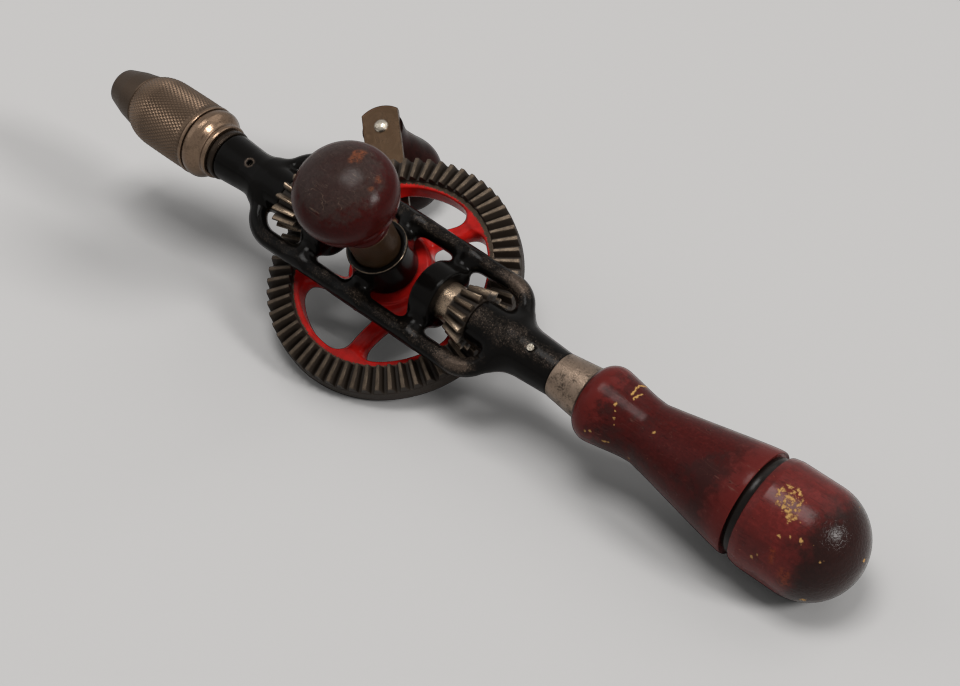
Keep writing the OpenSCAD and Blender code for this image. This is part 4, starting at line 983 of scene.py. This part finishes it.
class DRILL_OT_pinions(bpy.types.Operator):
    """Cuts the drive pinion and the rear pinion"""

    bl_idname = "drill.pinions"
    bl_label = "Pinions"

    def execute(self, context):
        steel = pinion_steel()
        base, tip, root = PINION_TEETH / 2 * math.cos(PRESSURE_ANGLE), 8.1, 5.95
        slack = 90 / PINION_TEETH - BACKLASH * 360 / math.pi / PINION_TEETH

        def involute(degrees):
            return math.degrees(math.tan(math.radians(degrees))) - degrees

        def half(r):
            return slack + involute(20) - involute(math.degrees(math.acos(min(1, base / r))))

        flank = [(root - 0.3, half(base))] + [(r, half(r)) for r in np.linspace(base, tip, 5)]
        outline = [(r, -a) for r, a in flank] + [(r, a) for r, a in reversed(flank)]
        n = len(outline)
        for name, sign, bore, node, body in (("drive_pinion_cut", -1, 6.02, "drive_pinion", "spindle_group"),
                                             ("idler_pinion_cut", 1, 4.05, "idler_pinion", "idler_group")):
            points = []
            for x in (PINION_IN + 0.3, PINION_OUT - 0.1):
                size = x * MODULE_SLOPE
                points.extend((sign * x, sign * r * math.sin(math.radians(a)) * size,
                               -r * math.cos(math.radians(a)) * size) for r, a in outline)
            faces = [tuple(range(n)), tuple(range(2 * n - 1, n - 1, -1))]
            faces += [(i, n + i, n + (i + 1) % n, (i + 1) % n) for i in range(n)]
            teeth = repeated(name, (points, faces), PINION_TEETH, (1, 0, 0), steel, 0.12)
            core = rounded([
                (bore, 38, 0), (bore, HUB_END, 0.3), (8.0, HUB_END, 0.4), (8.0, PINION_IN - 0.3, 0.4),
                (PINION_IN * root * MODULE_SLOPE, PINION_IN + 0.2, 0.2),
                (PINION_OUT * root * MODULE_SLOPE, PINION_OUT, 0.4), (bore, PINION_OUT, 0.3),
                (bore, 38, 0)])[:-1]
            core = turned([(r, sign * x) for r, x in core], ring=True)
            piece(name, merged(name, mesh_of(name, core), teeth), steel, body, (node,))
        return {"FINISHED"}


class DRILL_OT_chuck(bpy.types.Operator):
    """Turns the chuck's nose, knurled barrel, polished ring and collar"""

    bl_idname = "drill.chuck"
    bl_label = "Chuck"

    def execute(self, context):
        steel = chuck_steel()
        pitch, depth = sizes().knurl_pitch, sizes().knurl_depth
        around = 2 * round(2 * math.pi * 15.2 / pitch)
        rear = SLEEVE_BACK - 2.2
        barrel = smooth([(12.4, BARREL_FRONT + 0.3), (14.2, BARREL_FRONT + 4), (15.1, BARREL_FRONT + 8),
                         (15.35, BARREL_FRONT + 12), (15.4, -112), (15.3, rear)])
        stations = np.arange(BARREL_FRONT + 0.5, rear, sizes().knurl_lead / 2)
        radii = np.interp(stations, [a for _, a in barrel], [r for r, _ in barrel])
        nose = rounded([(11.48, CONE_BACK, 0), (6.35, SLEEVE_FRONT + 0.6, 0.4), (6.55, SLEEVE_FRONT, 0.3),
                        (7.9, SLEEVE_FRONT + 0.05, 1.1), (10.6, SLEEVE_FRONT + 8.5, 9),
                        (12.1, BARREL_FRONT - 0.6, 0.5), (11.7, BARREL_FRONT - 0.2, 0.1),
                        (11.7, BARREL_FRONT + 0.1, 0.1), (12.3, BARREL_FRONT + 0.3, 0)])
        heel = rounded([(15.0, rear + 0.2, 0), (14.7, rear + 0.45, 0.1), (15.4, rear + 0.8, 0.4),
                        (15.4, SLEEVE_BACK, 0.6), (11.4, SLEEVE_BACK, 0.2), (11.48, CONE_BACK, 0)])[:-1]
        angle = np.arange(around) * 2 * math.pi / around
        rows = [(a, np.full(around, r)) for r, a in nose]
        first = len(rows)
        for j, (a, r) in enumerate(zip(stations, radii)):
            rows.append((a, r - depth * ((np.arange(around) + j) % 2)))
        last = len(rows) - 1
        rows += [(a, np.full(around, r)) for r, a in heel]
        points = [(a, r * math.cos(t), r * math.sin(t)) for a, rs in rows for r, t in zip(rs, angle)]
        faces = []
        for j in range(len(rows)):
            low, high = j * around, (j + 1) % len(rows) * around
            for i in range(around):
                k = (i + 1) % around
                quad = (low + i, low + k, high + k, high + i)
                if first <= j < last and (i + j - first) % 2:
                    faces += [(quad[0], quad[1], quad[2]), (quad[0], quad[2], quad[3])]
                elif first <= j < last:
                    faces += [(quad[1], quad[2], quad[3]), (quad[1], quad[3], quad[0])]
                else:
                    faces.append(quad)
        mesh = mesh_of("chuck_sleeve_knurled", (points, faces), 24)
        piece("chuck_sleeve_knurled", mesh, steel, "sleeve_group", ("chuck_sleeve",))
        collar = rounded([(6.02, -90.2, 0), (6.02, COLLAR_FRONT, 0.3), (10.9, COLLAR_FRONT, 1.0),
                          (11.0, COLLAR_BACK, 1.0), (6.02, COLLAR_BACK, 0.3), (6.02, -90.2, 0)])[:-1]
        dark = scuffed_steel("collar_steel", tint(colours().chuck, 0.16), COLLAR_STAIN, 0.6)
        lathe("thrust_collar_turned", turned(collar, ring=True), dark, "spindle_group", "thrust_collar")
        for name in ("chuck_jaw_1", "chuck_jaw_2", "chuck_jaw_3", "chuck_body"):
            coat(name, steel)
        return {"FINISHED"}


def coat(node, finish):
    """Gives a solid that is shown as it is another finish."""
    obj = frame["nodes"][node]
    obj.data.materials.clear()
    obj.data.materials.append(finish)


class DRILL_OT_crank(bpy.types.Operator):
    """Finishes the crank strip, gear screw and pins and turns its knob"""

    bl_idname = "drill.crank"
    bl_label = "Crank"

    def execute(self, context):
        c = colours()
        steel = scuffed_steel("crank_steel", tuple(c.crank), tint(c.crank, 0.35), 0.6,
                              (0.4, 1.6, 1.0), (0.3, 0.5))
        for node in ("crank_arm", "gear_screw"):
            coat(node, steel)
        for node in ("crank_rivets", "crank_knob_pin"):
            coat(node, bright_pin())
        place = (CRANK_R * math.cos(CRANK_ANGLE), CRANK_R * math.sin(CRANK_ANGLE))
        top, length, r = CRANK_BOTTOM - 0.3, 50.8, 16.5
        keys = [(9.0, 0.0), (9.0, 0.2), (0.75 * r, 0.42), (0.97 * r, 0.62), (r, 0.76), (0.86 * r, 0.92),
                (0.5 * r, 1.0)]
        side = smooth([(q, top - share * length) for q, share in keys])
        recess = top - length + 3.84
        profile = [(2.45, top), *side, (3.5, top - length), (3.5, recess), (2.45, recess)]
        lathe("crank_knob_turned", turned(profile, "Z", place, ring=True), crank_knob_wood(),
              "crank_knob_group", "crank_knob")
        return {"FINISHED"}


class DRILL_OT_side_knob(bpy.types.Operator):
    """Turns the mushroom side knob and its ferrule"""

    bl_idname = "drill.side_knob"
    bl_label = "Side Knob"

    def execute(self, context):
        c = colours()
        bead = [(8.6 + 1.7 * math.sin(a), SIDE_WOOD + 1.7 - 1.7 * math.cos(a))
                for a in np.linspace(0, math.pi, 13)]
        side = smooth([(8.6, 29.2), (10.9, 33.84), (14.89, 38.66), (18.36, 42.68), (20.09, 47.51),
                       (20.4, 51.53)])
        profile = [(5.02, SEAT), (8.48, SEAT), (8.48, SIDE_WOOD), *bead, *side[1:],
                   *dome(20.4, 51.53, SIDE_TOP - 51.53)[1:], (0, 46.2), (5.02, 46.2)]
        lathe("side_knob_turned", turned(profile, "Z", ring=True), side_knob_wood(), "side_knob_group",
              "side_knob")
        tube = rounded([(8.5, 17, 0), (8.5, SEAT, 0.2), (9.7, SEAT, 0.3), (9.7, SIDE_WOOD - 0.02, 0.4),
                        (8.5, SIDE_WOOD - 0.02, 0.2), (8.5, 17, 0)])[:-1]
        brown = scuffed_steel("knob_ferrule_steel", tuple(c.knob_ferrule), tint(c.knob_ferrule, 0.35), 0.7,
                              rough=(0.36, 0.6), metal=0.6)
        lathe("side_knob_ferrule_turned", turned(tube, "Z", ring=True), brown, "side_knob_group",
              "side_knob_ferrule")
        coat("side_knob_stud", bright_pin())
        return {"FINISHED"}


class DRILL_OT_handle(bpy.types.Operator):
    """Turns the hollow handle, its ferrule and its end cap"""

    bl_idname = "drill.handle"
    bl_label = "Handle"

    def execute(self, context):
        c = colours()
        length = GRIP_END - WOOD_START
        keys = [(11.9, 0.0), (14.3, 0.035), (15.3, 0.085), (14.4, 0.17), (12.6, 0.33), (13.5, 0.45),
                (20.6, 0.95), (20.1, 1.0)]
        side = smooth([(r, WOOD_START + share * length) for r, share in keys])
        profile = [(5.42, GRIP_START), (7.88, GRIP_START), (9.68, WOOD_START), *side, (8.8, GRIP_END),
                   (8.8, HOLLOW_END), (0, HOLLOW_END), (0, TANG_END), (5.42, TANG_END)]
        lathe("handle_turned", turned(profile, ring=True), handle_wood(), "frame_group", "handle")
        groove = [(19.0 + 0.4 * math.sin(math.pi * share), CAP_START + 4 * share)
                  for share in np.linspace(0, 1, 9)]
        cap = [(0, CAP_START - 13), (8.75, CAP_START - 13), (8.75, CAP_START), *groove,
               *rounded([(19.0, CAP_START + 4, 0), (20.9, CAP_START + 4, 0.9), (21.6, CAP_START + 7.5, 4),
                         (21.6, CAP_BACK - 21, 0)])[1:], *dome(21.6, CAP_BACK - 21, 21)[1:]]
        lathe("end_cap_turned", turned(cap), cap_wood(), "cap_group", "end_cap")
        sleeve = rounded([(8.8, 98.5, 0), (7.9, GRIP_START, 0.2), (9.1, GRIP_START, 0.4),
                          (10.9, WOOD_START - 0.02, 0.4), (9.7, WOOD_START - 0.02, 0.2), (8.8, 98.5, 0)])[:-1]
        scuffed = scuffed_steel("handle_ferrule_steel", tuple(c.ferrule), FERRULE_STAIN, 0.95,
                                (1.0, 0.35, 0.35), (0.28, 0.52))
        lathe("handle_ferrule_turned", turned(sleeve, ring=True), scuffed, "frame_group", "handle_ferrule")
        return {"FINISHED"}


class DRILL_OT_fittings(bpy.types.Operator):
    """Finishes the spindle, axle, tang and pins"""

    bl_idname = "drill.fittings"
    bl_label = "Fittings"

    def execute(self, context):
        bright = bright_pin()
        for node in ("spindle", "idler_axle", "drive_pinion_pin", "handle_tang"):
            coat(node, bright)
        # Painted shade: the tang pin gets a darker copy of the bright pin finish.
        coat("tang_pin", bright_pin("pin_in_painted_shade", 0.4))
        return {"FINISHED"}


class DRILL_OT_stage(bpy.types.Operator):
    """Lays the pale floor, hangs the soft lamps and sets the camera"""

    bl_idname = "drill.stage"
    bl_label = "Stage"

    def execute(self, context):
        scene = context.scene
        pale = bpy.data.materials.new("pale_floor")
        pale.use_nodes = True
        shader = pale.node_tree.nodes["Principled BSDF"]
        shader.inputs["Base Color"].default_value = PALE
        shader.inputs["Roughness"].default_value = 0.9
        mesh = bpy.data.meshes.new("floor")
        corners = [(x * FLOOR_HALF, y * FLOOR_HALF, FLOOR_Z) for x, y in ((-1, -1), (1, -1), (1, 1), (-1, 1))]
        mesh.from_pydata(corners, [], [(0, 1, 2, 3)])
        mesh.materials.append(pale)
        floor = bpy.data.objects.new("floor", mesh)
        floor.is_shadow_catcher = True
        scene.collection.objects.link(floor)

        world = bpy.data.worlds.new("studio")
        world.use_nodes = True
        scene.world = world
        tree = world.node_tree
        air = tree.nodes["Background"]
        air.inputs["Color"].default_value = AIR_TONE
        air.inputs["Strength"].default_value = AIR_LEVEL
        seen = tree.nodes.new("ShaderNodeBackground")
        seen.inputs["Color"].default_value = PALE
        path, pick = tree.nodes.new("ShaderNodeLightPath"), tree.nodes.new("ShaderNodeMixShader")
        shown = path.outputs["Is Camera Ray"]
        for ray in ("Is Glossy Ray", "Is Transmission Ray"):
            both = tree.nodes.new("ShaderNodeMath")
            both.operation = "MAXIMUM"
            tree.links.new(shown, both.inputs[0])
            tree.links.new(path.outputs[ray], both.inputs[1])
            shown = both.outputs[0]
        tree.links.new(shown, pick.inputs[0])
        tree.links.new(air.outputs[0], pick.inputs[1])
        tree.links.new(seen.outputs[0], pick.inputs[2])
        tree.links.new(pick.outputs[0], tree.nodes["World Output"].inputs["Surface"])

        for name, at, size, energy, colour in LAMPS:
            lamp = bpy.data.lights.new(name, "AREA")
            lamp.energy, lamp.size, lamp.color = energy, size, colour
            obj = bpy.data.objects.new(name, lamp)
            obj.location = at
            obj.rotation_mode = "QUATERNION"
            obj.rotation_quaternion = (Vector(LAMP_AIM) - obj.location).to_track_quat("-Z", "Y")
            scene.collection.objects.link(obj)

        lens = bpy.data.cameras.new("camera")
        lens.lens, lens.sensor_width, lens.clip_start = LENS_MM, SENSOR_MM, CLIP_START
        camera = bpy.data.objects.new("camera", lens)
        turn = Matrix((CAMERA_RIGHT, CAMERA_UP, CAMERA_BACK)).transposed().to_4x4()
        turn.translation = CAMERA_AT
        camera.matrix_world = turn
        scene.collection.objects.link(camera)
        scene.camera = camera
        scene.view_settings.view_transform = "Standard"
        return {"FINISHED"}


class DRILL_PT_panel(bpy.types.Panel):
    """Lists the drill's sizes, colours and pieces in the sidebar"""

    bl_idname = "DRILL_PT_panel"
    bl_label = "Hand Drill"
    bl_space_type = "VIEW_3D"
    bl_region_type = "UI"
    bl_category = "Hand Drill"

    def draw(self, context):
        for group in (context.scene.drill_sizes, context.scene.drill_colours):
            box = self.layout.box()
            for key in group.bl_rna.properties.keys():
                if key not in ("rna_type", "name"):
                    box.prop(group, key)
        for operator in OPERATORS:
            self.layout.operator(operator.bl_idname)


OPERATORS = (DRILL_OT_stage, DRILL_OT_frame, DRILL_OT_gear, DRILL_OT_pinions, DRILL_OT_chuck, DRILL_OT_crank,
             DRILL_OT_side_knob, DRILL_OT_handle, DRILL_OT_fittings)
CLASSES = (DrillSizes, DrillColours, *OPERATORS, DRILL_PT_panel)


def register():
    for cls in CLASSES:
        bpy.utils.register_class(cls)
    bpy.types.Scene.drill_sizes = PointerProperty(type=DrillSizes)
    bpy.types.Scene.drill_colours = PointerProperty(type=DrillColours)


def unregister():
    del bpy.types.Scene.drill_colours
    del bpy.types.Scene.drill_sizes
    for cls in reversed(CLASSES):
        bpy.utils.unregister_class(cls)


def main():
    register()
    bpy.ops.drill.stage()
    bpy.ops.drill.frame()
    bpy.ops.drill.gear()
    bpy.ops.drill.pinions()
    bpy.ops.drill.chuck()
    bpy.ops.drill.crank()
    bpy.ops.drill.side_knob()
    bpy.ops.drill.handle()
    bpy.ops.drill.fittings()


if __name__ == "__main__":
    main()
